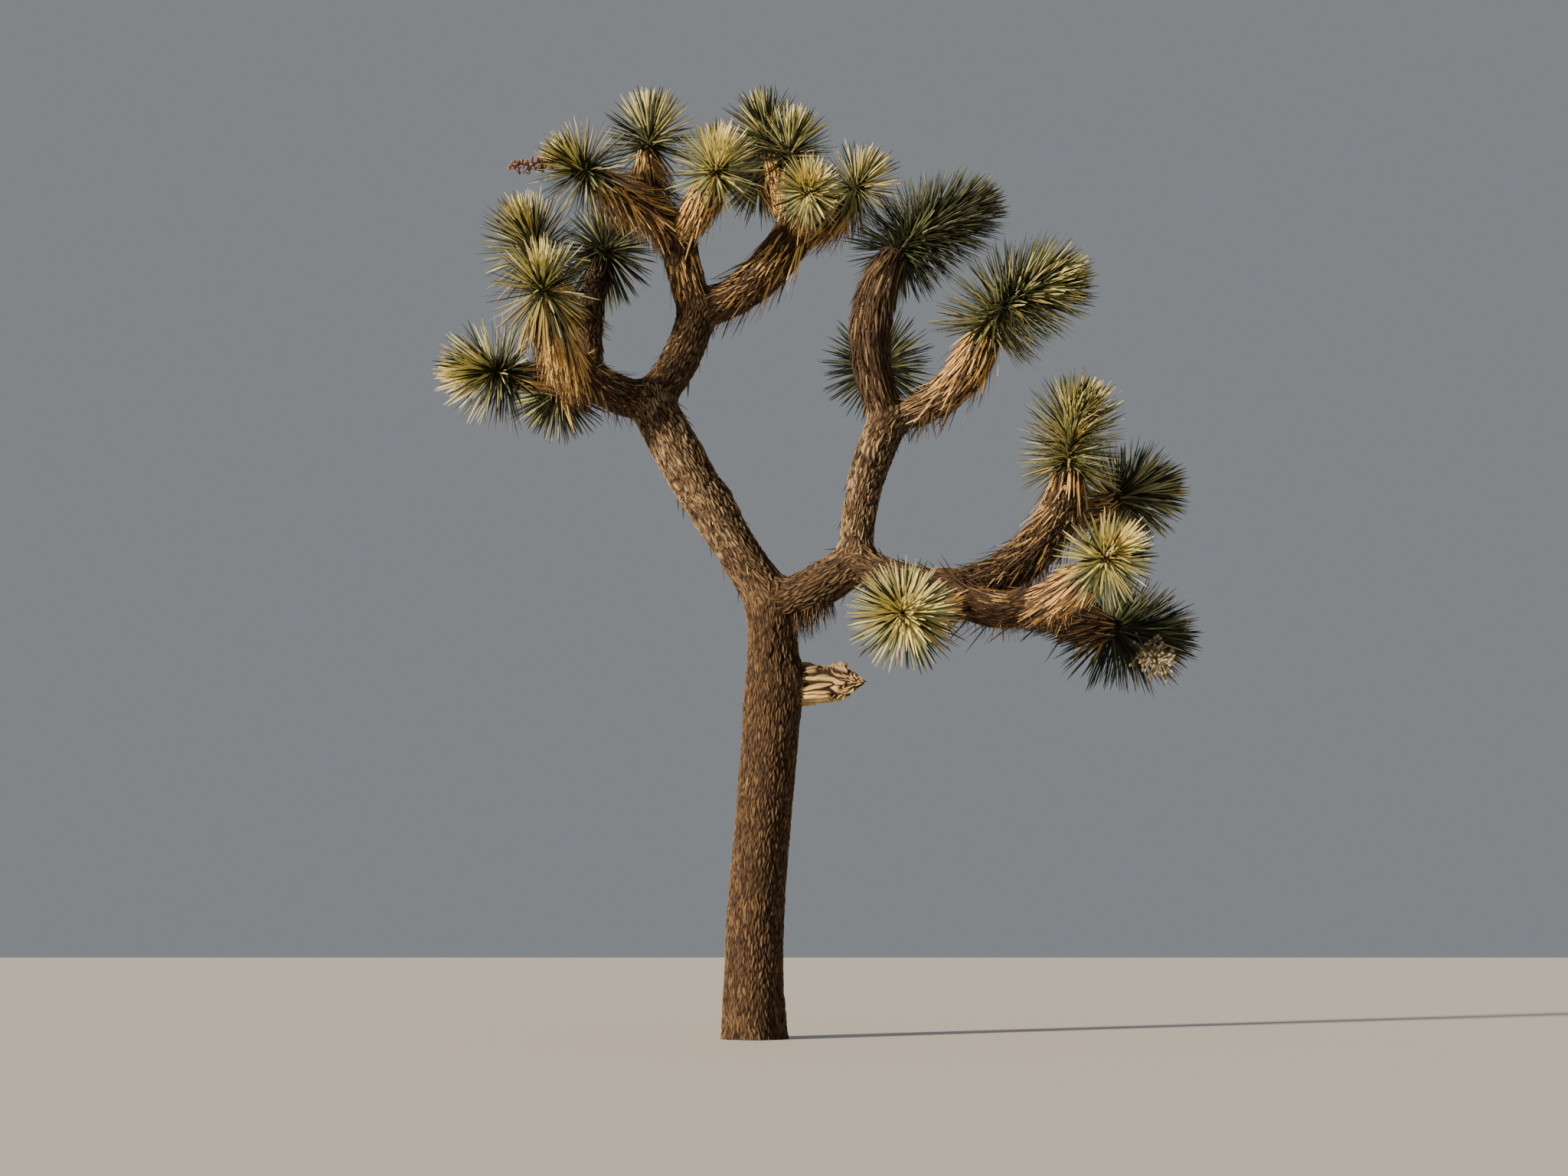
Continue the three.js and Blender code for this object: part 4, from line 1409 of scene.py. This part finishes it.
        # The bleach is partly painted shade, lowered on limbs that lie in shade.
        bleached_and_shaded = mark * np.interp(grid_share, (0, 1), limb.bleach_and_shade)
        write_values(piece, "plate", np.append(bleached_and_shaded.ravel(), self.POLES))
        return settle(piece, Slot.BARK, limb.node)


# Dead leaves


class Thatch:
    """The dead leaves that clad a limb, pointing back along it.

    Each range is of a random share or size in metres, and each stray the spread of a random part.
    """

    WIDTH = (0.007, 0.012)
    # Short leaves are what is left of broken ones, so they are broad as leaf bases are.
    BASE_WIDTH = (0.012, 0.019)
    LONG = 0.1
    THICKNESS = 0.28
    LENGTH = (0.65, 1.15)
    # The root lies under the surface, as a share of the radius, and the end lies a little off it. A leaf
    # of FULL_LIFT or longer lifts in full, and a shorter one by less.
    ROOT_DEPTH = 0.84
    CLOSE_LIFT = (0.0, 0.012)
    LOOSE_LIFT = (0.02, 0.06)
    FULL_LIFT = 0.12
    LEAST_LIFT = 0.4
    # A bough's loose leaves are longer than its close ones, and of this length at least.
    LOOSE_LENGTH = 1.4
    LEAST_LOOSE = (0.08, 0.13)
    # The leaves next to the rosette stand off as a skirt.
    SKIRT_LIFT = 0.035
    SKIRT_START = 0.75
    TURN_STRAY = 0.3
    STRAY = 0.09
    ROLL = 0.35
    # Leaves that face lower than UNDER fall: loose ones by HANG at most, and all by the stem's own share.
    UNDER = 0.6
    HANG = 1.6
    HANG_RANGE = (0.5, 1.5)
    SAG = (0.0, 0.08)
    CLOSE_SAG = 0.3
    BEND = 0.03
    # How deep in another limb's skin a leaf may run.
    BURIED = 0.05
    AGE_STRAY = 0.8
    # A share of the leaves take the two oldest tints: partly old leaves, partly painted shade between the
    # strands.
    DARK_SHARE = 0.3
    # A beard's leaves stray from straight down, and reach out a little from the limb.
    BEARD_STRAY = 0.12
    BEARD_REACH = 0.25
    BEARD_TURN = 0.85
    BEARD_LENGTH = (0.5, 1.2)
    BEARD_WIDTH = (0.004, 0.0075)
    BEARD_BEND = 0.05
    BEARD_ROLL = 0.6
    BEARD_SEED = 50
    # Where the leaves begin on a stem and on a bough, as a share of its length.
    STEM_START = 0.05
    BOUGH_START = 0.06
    CORE_STEP = 0.014
    CORE_LUMP = 0.01
    CORE_SHARE = 0.82

    def __init__(self, skeleton: Skeleton) -> None:
        """Keep the skeleton and build the tints."""
        self.skeleton = skeleton
        self.tints = [finish.material() for finish in DEAD_TINTS]

    def leaves(self, limb: Limb, seed: int, first: float) -> Blades:
        """Lay the dead leaves of one limb by the golden angle.

        A leaf runs from its root back along the limb to a point just off the limb's surface. Some are loose:
        they lift further, and those under the limb hang.

        Args:
            limb: The limb.
            seed: Which leaves.
            first: The share of the limb's length where they begin.

        Returns:
            The leaves.
        """
        random = np.random.default_rng(seed)
        path, stem = limb.path, isinstance(limb, Stem)
        count = int(limb.clad * path.length * (1 - first))
        order = (np.arange(count) + random.random(count)) / count
        share = first + (1 - first) * order
        turn = np.arange(count) * GOLDEN_ANGLE + random.uniform(-self.TURN_STRAY, self.TURN_STRAY, count)
        out = path.out(share, turn)
        low, high = limb.fringe
        length = (low + (high - low) * order) * random.uniform(*self.LENGTH, count)
        loose = random.random(count) < limb.ragged
        if not stem:
            hanging = np.maximum(length * self.LOOSE_LENGTH, random.uniform(*self.LEAST_LOOSE, count))
            length = np.where(loose, hanging, length)
        lifted, close = random.uniform(*self.LOOSE_LIFT, count), random.uniform(*self.CLOSE_LIFT, count)
        lift = np.where(loose, lifted, close) * np.clip(length / self.FULL_LIFT, self.LEAST_LIFT, 1.0)
        if stem:
            lift = np.where(loose, lift * limb.shag, lift)
            skirt = np.clip((share - self.SKIRT_START) / (1 - self.SKIRT_START), 0, 1)
            lift += self.SKIRT_LIFT * skirt * random.random(count)
        back = share - length / path.length
        place = np.clip(back, 0, 1)
        beyond = (back - place) * path.length
        root = path.at(share) + out * (limb.radius(share) * self.ROOT_DEPTH)[:, None]
        end = path.at(place) + path.along(place) * beyond[:, None]
        end += path.out(place, turn) * (limb.radius(place) + lift)[:, None]
        direction = unit(end - root)
        side = np.cross(out, direction)
        under = smooth_step(self.UNDER - out @ UP)
        fall = loose * self.HANG * random.random(count) * under
        if stem:
            fall += limb.hang * random.uniform(*self.HANG_RANGE, count) * under
        direction = direction + side * random.normal(0, self.STRAY, count)[:, None]
        direction = unit(direction - UP * fall[:, None])
        width = random.uniform(*(self.WIDTH if high > self.LONG else self.BASE_WIDTH), count)
        bend = -UP * (random.uniform(*self.SAG, count) * (self.CLOSE_SAG + loose))[:, None]
        bend += side * random.normal(0, self.BEND, count)[:, None]
        tint = self.tints_by_age_and_shade(limb, order, random)
        roll = random.normal(0, self.ROLL, count)
        blades = Blades.standing(
            root, direction, -out, length, width, width * self.THICKNESS, bend, tint, roll
        )
        ends = root + direction * length[:, None]
        return blades.kept(self.skeleton.is_clear(limb.name, root, ends, self.BURIED))

    def tints_by_age_and_shade(self, limb: Limb, share: Array, random: np.random.Generator) -> Array:
        """Deal tints to dead leaves by the age and painted shade where they grow, and a random part.

        Args:
            limb: The limb.
            share: The share of its length at which each leaf grows.
            random: Where the random part comes from.

        Returns:
            Each leaf's tint. Some are of the two oldest tints wherever they grow, partly as old leaves and
            partly as painted shade between the strands.
        """
        age = np.interp(share, (0, 1), limb.age) + random.normal(0, self.AGE_STRAY, len(share))
        tint = np.clip(np.round(age), STRAW, OLD).astype(int)
        # Painted shade in part: dark strands that stand for the shade between leaves, as well as old ones.
        dark = random.random(len(share)) < self.DARK_SHARE
        tint[dark] = np.maximum(tint[dark], OLD - 1)
        return tint

    def hanging(self, limb: Limb, seed: int) -> Blades:
        """Lay a limb's beard: leaves from its underside that hang down and stray at random.

        Args:
            limb: The limb.
            seed: Which leaves.

        Returns:
            The leaves.
        """
        random = np.random.default_rng(seed)
        path = limb.path
        first, last, longest, count = limb.beard
        share = np.sort(random.uniform(first, last, count))
        straight = np.zeros(count)
        lowest = np.arctan2(-path.out(share, straight + math.pi / 2) @ UP, -path.out(share, straight) @ UP)
        out = path.out(share, lowest + random.uniform(-self.BEARD_TURN, self.BEARD_TURN, count))
        root = path.at(share) + out * (limb.radius(share) * self.ROOT_DEPTH)[:, None]
        direction = unit(out * self.BEARD_REACH - UP + random.normal(0, self.BEARD_STRAY, (count, 3)))
        length = longest * random.uniform(*self.BEARD_LENGTH, count)
        width = random.uniform(*self.BEARD_WIDTH, count)
        bend = random.normal(0, self.BEARD_BEND, (count, 3))
        tint = self.tints_by_age_and_shade(limb, share, random)
        roll = random.normal(0, self.BEARD_ROLL, count)
        blades = Blades.standing(
            root, direction, path.along(share), length, width, width * self.THICKNESS, bend, tint, roll
        )
        ends = root + direction * length[:, None]
        return blades.kept(self.skeleton.is_clear(limb.name, root, ends, self.BURIED))

    def core(self, batch: Batch, limb: Limb, seed: int) -> None:
        """Add the limb itself under its leaves, a tube with random lumps in the oldest leaves' colour.

        Args:
            batch: Where it goes.
            limb: The limb.
            seed: Which lumps.
        """
        rows = int(limb.path.length / self.CORE_STEP)
        radius = limb.radius(np.linspace(0, 1, rows)) * self.CORE_SHARE
        columns = int(2 * math.pi * radius.mean() / self.CORE_STEP)
        points, quads, triangles = tube(limb.path, radius, columns)
        random = np.random.default_rng(seed)
        centres = np.repeat(limb.path.at(np.linspace(0, 1, rows)), columns, axis=0)
        lumps = random.uniform(-self.CORE_LUMP, self.CORE_LUMP, rows * columns)[:, None]
        points[:-2] += unit(points[:-2] - centres) * lumps
        batch.add(points, quads, triangles, OLD, OLD)

    def build(self, limb: Limb, seed: int) -> bpy.types.Object:
        """Make a limb's dead leaves and its beard as one piece, with the stem under them if it is a stem.

        Args:
            limb: The limb.
            seed: Which leaves.

        Returns:
            The finished piece, which stands for a stem's node and lies over a bough's bark.
        """
        stem = isinstance(limb, Stem)
        first = self.STEM_START if stem else self.BOUGH_START
        batch = Batch()
        if stem:
            self.core(batch, limb, seed)
        DEAD_BLADE.mesh(batch, self.leaves(limb, seed, first), OLD - 1)
        if limb.beard:
            DEAD_BLADE.mesh(batch, self.hanging(limb, seed + self.BEARD_SEED), OLD - 1)
        piece = batch.to_object(f"dead_leaves_{limb.name}", self.tints, False)
        nodes = (limb.node,) if stem else ()
        return settle(piece, Slot.THATCH, *nodes)


# Rosettes


class Rosettes:
    """The tufts of live leaves, one at the tip of each stem.

    Each range is of a random share or size in metres, and each stray the spread of a random part.
    """

    LEAVES = 290
    LEAVES_A_METRE = 2000.0
    SHORTEST_TIP = 0.2
    WIDTH = (0.01, 0.0145)
    THICKNESS = 0.3
    # How far the leaves reach, and the shortest leaf, as shares of the stem's spread.
    REACH = (0.9, 1.14)
    SHORTEST = 0.35
    # The highest leaves tilt by so many degrees from the tip's own line, and all stray by so many radians.
    UPRIGHT = 8.0
    RISE = 1.1
    STRAY = 0.13
    # Leaves that tilt past LOW, in radians, start beyond the stem's rim, and those that face lower than
    # UNDER can fall.
    LOW = 1.6
    UNDER = 0.8
    SAG = (0.0, 0.05)
    LOW_SAG = 0.05
    BEND = 0.012
    ROLL = 0.3
    # How far the heart lies below the tip's end, as a share of the spread, and how deep the roots lie.
    HEART_DEPTH = 0.42
    SKIN_SHARE = 0.8
    SUNK = 0.02
    AGE_STRAY = 0.9
    # Of the lowest leaves, this many times the stem's share have begun to dry, and fewer of those above.
    DRY_LOW = 2.2
    DRY_FALL = 1.5
    CORE_ROWS = 12
    CORE_COLUMNS = 14
    CORE_SHARE = 0.85
    # The youngest leaves stand close together over the end of the core.
    HEART_LEAVES = 44
    HEART_LEAN = 42.0
    HEART_RADIUS = 0.02
    HEART_LENGTH = (0.5, 0.72)
    HEART_WIDTH = (0.007, 0.011)
    HEART_AGE = 0.6
    HEART_SEED = 100

    def __init__(self, skeleton: Skeleton) -> None:
        """Keep the skeleton and build the tints."""
        self.skeleton = skeleton
        self.tints = [finish.material() for finish in LIVE_TINTS]

    def leaves(self, stem: Stem, seed: int) -> Blades:
        """Lay the leaves of one rosette round its leafy tip by the golden angle.

        The lowest droop and the highest stand upright: the tilt runs from droop to upright with the leaf's
        order to the power RISE. Leaves past the heart are cut short by their height above it, so that all
        end on a ball round it.

        Args:
            stem: The stem that carries the rosette.
            seed: Which leaves.

        Returns:
            The leaves.
        """
        random = np.random.default_rng(seed)
        path = stem.leafy_path()
        count = int(self.LEAVES + self.LEAVES_A_METRE * max(0.0, stem.leafy - self.SHORTEST_TIP))
        order = (np.arange(count) + 0.5) / count
        turn = np.arange(count) * GOLDEN_ANGLE
        tilt = np.radians(stem.droop + (self.UPRIGHT - stem.droop) * order**self.RISE)
        tilt += random.normal(0, self.STRAY, count)
        rim = stem.radius(1.0) - stem.CORE_RADIUS * self.SKIN_SHARE
        over_rim = np.maximum(0, rim / -np.tan(np.maximum(tilt, self.LOW)))
        share = np.clip(np.maximum(order, over_rim / path.length), 0, 1)
        out, along = path.out(share, turn), path.along(share)
        direction = turned(along, out, tilt)
        falling = stem.weep * np.clip(1 - 2 * order, 0, 1) * smooth_step(self.UNDER - out @ UP)
        direction = unit(direction - UP * falling[:, None])
        skin = stem.core_radius(share) * self.SKIN_SHARE
        heart = path.length - stem.spread * self.HEART_DEPTH
        past_heart = np.maximum(0, share * path.length - heart)
        spread = stem.spread * random.uniform(*self.REACH, count)
        length = spread - skin * np.sin(tilt) - past_heart * np.cos(tilt)
        length = np.maximum(length, stem.spread * self.SHORTEST)
        root = path.at(share) + out * skin[:, None] - direction * self.SUNK
        width = random.uniform(*self.WIDTH, count)
        sag = random.uniform(*self.SAG, count) + self.LOW_SAG * np.maximum(0, -np.cos(tilt))
        bend = -UP * sag[:, None] + random.normal(0, self.BEND, (count, 3))
        # The tint runs with the leaf's age from yellow above to olive below, and the stem's shade shifts it
        # darker as painted shade.
        age = (1 - order + stem.even * (order - 0.5)) * OLIVE + stem.shade
        age += random.normal(0, self.AGE_STRAY, count)
        tint = np.clip(np.round(age), YELLOW, OLIVE).astype(int)
        tint[random.random(count) < stem.dry * self.DRY_LOW * (1 - order) ** self.DRY_FALL] = DRYING
        # Painted shade: a share of the leaves take the deep green that stands for the shade between them.
        tint[random.random(count) < stem.dark] = PAINTED_SHADE
        roll = random.normal(0, self.ROLL, count)
        blades = Blades.standing(
            root, direction, -along, length + self.SUNK, width, width * self.THICKNESS, bend, tint, roll
        )
        return blades.kept(self.skeleton.is_clear(stem.name, root, root + direction * length[:, None], 0.0))

    def heart(self, stem: Stem, seed: int) -> Blades:
        """Lay the youngest leaves of one rosette, a close cone of them about its end, by the golden angle.

        Each leaf leans and stands out by the square root of one less its order.

        Args:
            stem: The stem that carries the rosette.
            seed: Which leaves.

        Returns:
            The leaves.
        """
        random = np.random.default_rng(seed)
        path, count = stem.leafy_path(), self.HEART_LEAVES
        outer = np.sqrt(1 - (np.arange(count) + 0.5) / count)
        turn = np.arange(count) * GOLDEN_ANGLE
        ends = np.ones(count)
        out, along = path.out(ends, turn), path.along(ends)
        direction = turned(along, out, np.radians(self.HEART_LEAN) * outer)
        root = path.at(ends) + out * (self.HEART_RADIUS * outer)[:, None] - along * self.SUNK
        length = stem.spread * random.uniform(*self.HEART_LENGTH, count)
        width = random.uniform(*self.HEART_WIDTH, count)
        # The stem's shade shifts these tints darker too, as painted shade.
        age = stem.shade + random.exponential(self.HEART_AGE, count)
        tint = np.clip(np.round(age), YELLOW, OLIVE).astype(int)
        bend = random.normal(0, self.BEND, (count, 3))
        roll = random.normal(0, self.ROLL, count)
        return Blades.standing(root, direction, -out, length, width, width * self.THICKNESS, bend, tint, roll)

    def build(self, stem: Stem, seed: int) -> bpy.types.Object:
        """Make one rosette: the core, then the leaves that stand out of it.

        Args:
            stem: The stem that carries the rosette.
            seed: Which leaves.

        Returns:
            The finished piece.
        """
        batch = Batch()
        radius = stem.core_radius(np.linspace(0, 1, self.CORE_ROWS)) * self.CORE_SHARE
        batch.add(*tube(stem.leafy_path(), radius, self.CORE_COLUMNS), CORE, CORE)
        LIVE_BLADE.mesh(batch, self.leaves(stem, seed), SPINE)
        LIVE_BLADE.mesh(batch, self.heart(stem, seed + self.HEART_SEED), SPINE)
        piece = batch.to_object(f"rosette_{stem.name}", self.tints, False)
        return settle(piece, Slot.LEAVES, f"leaves_{stem.name}")


# The broken limb and the old flower stalks


@dataclass
class DeadStub:
    """What is left of a broken limb: bare weathered wood, hollow and jagged at its end.

    Sizes are in metres, and as many ridges of grain go round the stub as ridges says. Each of the jags is its
    size, how many teeth it has round the rim, and which teeth.
    """

    at: float = 0.802
    tip: Triple = (0.612, -0.06, 1.85)
    girth: tuple[float, ...] = (0.240, 0.216, 0.204, 0.192, 0.166)
    flatness: float = 0.72
    # The end has broken back over its point, under it and at random, from break_start of the stub on.
    broken_over: float = 0.1
    broken_under: float = 0.12
    break_power: float = 0.8
    break_start: float = 0.5
    jag: float = 0.04
    jags: tuple[tuple[float, int, int], ...] = ((0.6, 13, 3), (0.4, 37, 4))
    rows: int = 150
    columns: int = 200
    # The grain is laid on a stub of this length, and groove_middle is the relief on its own surface.
    length: float = 0.48
    ridges: int = 18
    ridge_length: float = 0.3
    groove_depth: float = 0.032
    groove_middle: float = 0.55
    # A knob stands over the end: its height, its place and its reach along the stub and about it.
    knob: float = 0.026
    knob_place: Pair = (0.97, 1.6)
    knob_reach: Pair = (0.08, 0.5)
    # The end folds back into a hollow, in a few rings that bulge out of a straight line.
    hollow: float = 0.09
    hollow_rows: int = 9
    hollow_bulge: float = 0.02
    # The hollow takes little relief, so that it is painted dark as shade.
    hollow_shade: float = 0.3
    # The stub turns grey over its top, from where the sine of the turn is this, over so much more of it.
    top_start: float = 0.25
    top_range: float = 0.7
    # The grain in the finish is read as on a bar of this radius.
    grain_radius: float = 0.1
    # The relief and the grey at the points that close the foot and the hollow; the hollow's floor is painted
    # dark as shade.
    pole_relief: Pair = (0.5, 0.1)
    pole_grey: Pair = (0.5, 0.5)
    seed: int = 41

    def build(self, skeleton: Skeleton) -> bpy.types.Object:
        """Make the stub.

        A point is the middle line's point plus its radius times the unit vector out, and the radius is the
        girth's, less grooves that run along the grain, plus a knob over the end. The end has broken back
        over and under its point, and the rim then folds back into a shallow hollow.

        Args:
            skeleton: The limbs, for the trunk that the stub stands on.

        Returns:
            The finished piece.
        """
        start = skeleton.limbs["trunk"].path.at(self.at)
        path = Path.bowed(start, self.tip, (0.0, 0.0, 0.0))
        share = np.linspace(0, 1, self.rows)
        turn = np.arange(self.columns) * 2 * math.pi / self.columns
        grid_share, grid_turn = np.meshgrid(share, turn, indexing="ij")
        turns = grid_turn / (2 * math.pi) * self.ridges
        runs = grid_share * self.length / self.ridge_length
        relief, _ = WOOD_GRAIN.relief(turns, runs, self.ridges, self.seed)
        height = np.sin(turn)
        around = turn / (2 * math.pi)
        jags = sum(size * cloud(around * teeth, around * 0, teeth, self.seed + which)
                   for size, teeth, which in self.jags)
        cut = -self.broken_over * np.clip(height, 0, 1) ** self.break_power
        cut -= self.broken_under * np.clip(-height, 0, 1) ** self.break_power + self.jag * jags
        steps = np.linspace(0, 1, len(self.girth))
        radius = np.interp(grid_share, steps, self.girth) / 2
        radius += self.groove_depth * (relief - self.groove_middle)
        (knob_share, knob_turn), (knob_long, knob_wide) = self.knob_place, self.knob_reach
        off_along, off_about = (grid_share - knob_share) / knob_long, (grid_turn - knob_turn) / knob_wide
        radius += self.knob * np.exp(-(off_along**2) - off_about**2)
        along = path.along(0.5)
        across = unit(np.cross(UP, along))
        rise = np.cross(along, across)
        shift = smooth_step((grid_share - self.break_start) / (1 - self.break_start)) * cut
        centre = path.at(grid_share) + along * shift[..., None]
        places = (centre + across * (np.cos(grid_turn) * radius * self.flatness)[..., None]
                  + rise * (np.sin(grid_turn) * radius)[..., None])
        inward = np.linspace(0, 1, self.hollow_rows)[1:-1, None, None]
        floor = path.at(1.0) - along * self.hollow
        rim = places[-1][None]
        inner = rim + (floor - rim) * inward - along * (np.sin(inward * math.pi) * self.hollow_bulge)
        rings = np.concatenate((places, inner))
        batch = Batch()
        points = np.concatenate((rings.reshape(-1, 3), [path.at(0.0)], [floor]))
        batch.add(points, *ring_faces(len(rings), self.columns))
        piece = batch.to_object("weathered_stub", [DeadWoodFinish().material()], True)
        # The hollow's rings take a share of the rim's relief, which paints them dark as shade.
        hollow_painted_shade = np.repeat(relief[-1][None] * self.hollow_shade, len(inward), axis=0)
        shown = np.concatenate((relief, hollow_painted_shade)).ravel()
        write_values(piece, "relief", np.append(shown, self.pole_relief))
        faded = np.broadcast_to(smooth_step((height - self.top_start) / self.top_range), rings.shape[:2])
        write_values(piece, "plate", np.append(faded.ravel(), self.pole_grey))
        run = np.concatenate((share, np.ones(len(inward)))) * path.length
        x, y = np.cos(turn) * self.grain_radius, np.sin(turn) * self.grain_radius
        place = np.stack(np.broadcast_arrays(x, y, run[:, None]), axis=-1).reshape(-1, 3)
        write_values(piece, "along_bark", np.concatenate((place, ((0, 0, 0), (0, 0, 0.5)))))
        return settle(piece, Slot.DEAD_WOOD, "dead_stub")


@dataclass
class FlowerStalk:
    """An old flower stalk: a bowed bar with short twigs round its outer part, each with a dry pod's stub.

    along is where it leaves the leafy tip, and foot and end are its radii. Each twig and each pod is a bar
    with its radii at even steps.
    """

    stem: str
    aim: Triple
    length: float
    along: float
    seed: int
    foot: float = 0.009
    end: float = 0.004
    sag: float = 0.05
    rows: int = 16
    columns: int = 8
    twigs: int = 46
    twig_length: Pair = (0.015, 0.045)
    first_twig: float = 0.5
    last_twig: float = 0.99
    # How far the twigs lean towards the stalk's end, and how far each bows up, as a share of its length.
    twig_lean: float = 0.6
    twig_bow: float = 0.1
    twig_radii: tuple[float, ...] = (0.003, 0.0025, 0.002)
    twig_columns: int = 5
    pod_length: float = 0.024
    pod_bow: float = 0.001
    pod_radii: tuple[float, ...] = (0.002, 0.009, 0.008, 0.002)
    pod_columns: int = 6

    def build(self, skeleton: Skeleton, material: bpy.types.Material) -> bpy.types.Object:
        """Make the stalk, its twigs and their pods.

        Args:
            skeleton: The limbs, for the leafy tip that the stalk grows from.
            material: The stalk's finish.

        Returns:
            The finished piece.
        """
        random = np.random.default_rng(self.seed)
        start = skeleton.limbs[self.stem].leafy_path().at(self.along)
        aim = unit(np.array(self.aim))
        path = Path.bowed(start, start + aim * self.length, (0.0, 0.0, self.length * self.sag))
        batch = Batch()
        batch.add(*tube(path, np.linspace(self.foot, self.end, self.rows), self.columns))
        for share in np.linspace(self.first_twig, self.last_twig, self.twigs):
            foot = path.at(share)
            out = unit(random.normal(0, 1, 3) + aim * self.twig_lean)
            reach = random.uniform(*self.twig_length)
            tip = foot + out * reach
            twig = Path.bowed(foot, tip, UP * reach * self.twig_bow)
            batch.add(*tube(twig, np.array(self.twig_radii), self.twig_columns))
            pod = Path.bowed(tip, foot + out * (reach + self.pod_length), UP * self.pod_bow)
            batch.add(*tube(pod, np.array(self.pod_radii), self.pod_columns))
        piece = batch.to_object(f"flower_stalk_{self.stem}", [material], True)
        return settle(piece, Slot.LEAVES)


# Studio


@dataclass(frozen=True)
class Studio:
    """A pale floor, soft light from the left and front, and a low camera that looks up at the tree."""

    camera_place: Triple = (0.152, -11.4, 0.52)
    camera_pitch: float = 9.2
    lens: float = 49.5
    floor_size: float = 90.0
    floor_colour: str = "#D9D6D0"
    sky_colour: str = "#DCE3EA"
    sky_strength: float = 0.31
    key_from: Triple = (-0.83, -0.56, 0.25)
    key_strength: float = 9.3
    key_colour: str = "#FFE9CC"
    key_softness: float = 4.0
    floor_roughness: float = 0.9

    def build(self) -> None:
        """Make the floor, the lights and the camera."""
        scene = bpy.context.scene
        half = self.floor_size / 2
        mesh = bpy.data.meshes.new("floor")
        corners = [(-half, -half, 0), (half, -half, 0), (half, half, 0), (-half, half, 0)]
        mesh.from_pydata(corners, [], [(0, 1, 2, 3)])
        floor = bpy.data.objects.new("floor", mesh)
        scene.collection.objects.link(floor)
        material, _, shader = new_material("plain floor")
        shader.inputs["Base Color"].default_value = linear(self.floor_colour)
        shader.inputs["Roughness"].default_value = self.floor_roughness
        mesh.materials.append(material)
        sky = bpy.data.worlds.new("sky")
        sky.use_nodes = True
        background = sky.node_tree.nodes["Background"]
        background.inputs["Color"].default_value = linear(self.sky_colour)
        background.inputs["Strength"].default_value = self.sky_strength
        scene.world = sky
        lamp = bpy.data.lights.new("key", "SUN")
        lamp.energy = self.key_strength
        lamp.color = linear(self.key_colour)[:3]
        lamp.angle = math.radians(self.key_softness)
        key = bpy.data.objects.new("key", lamp)
        key.rotation_mode = "QUATERNION"
        key.rotation_quaternion = Vector(self.key_from).to_track_quat("Z", "Y")
        scene.collection.objects.link(key)
        camera = bpy.data.objects.new("camera", bpy.data.cameras.new("camera"))
        camera.data.lens = self.lens
        camera.location = self.camera_place
        camera.rotation_euler = (math.radians(90 + self.camera_pitch), 0, 0)
        scene.collection.objects.link(camera)
        scene.camera = camera


# Where the random numbers start for the barks, the boughs' dead leaves, the stems' and the live leaves.
BARK_SEED, BOUGH_SEED, STEM_SEED, LEAF_SEED = 10, 200, 300, 400


def main() -> None:
    """Build the studio, then the tree from the trunk outwards."""
    logging.basicConfig(level=logging.INFO, format="%(message)s")
    Studio().build()
    skeleton = Skeleton(BOUGHS, STEMS)
    skin = BarkSkin(skeleton)
    thatch = Thatch(skeleton)
    for index, limb in enumerate(skeleton.boughs):
        skin.build(limb, BARK_SEED + index)
        if limb.clad:
            thatch.build(limb, BOUGH_SEED + index)
    DeadStub().build(skeleton)
    rosettes = Rosettes(skeleton)
    for index, stem in enumerate(skeleton.stems):
        thatch.build(stem, STEM_SEED + index)
        rosettes.build(stem, LEAF_SEED + index)
    west = FlowerStalk(
        "middle_west", aim=(-0.98, -0.1, -0.1), length=0.33, along=0.7, seed=1, twigs=80,
        twig_length=(0.01, 0.035), first_twig=0.4,
    )
    west.build(skeleton, STALK_FINISH.material())
    east = FlowerStalk(
        "lower_east", aim=(0.55, -0.63, -0.55), length=0.4, along=0.1, seed=2, twigs=110,
        twig_length=(0.04, 0.1), first_twig=0.6,
    )
    east.build(skeleton, BLEACHED_STALK.material())


if __name__ == "__main__":
    main()
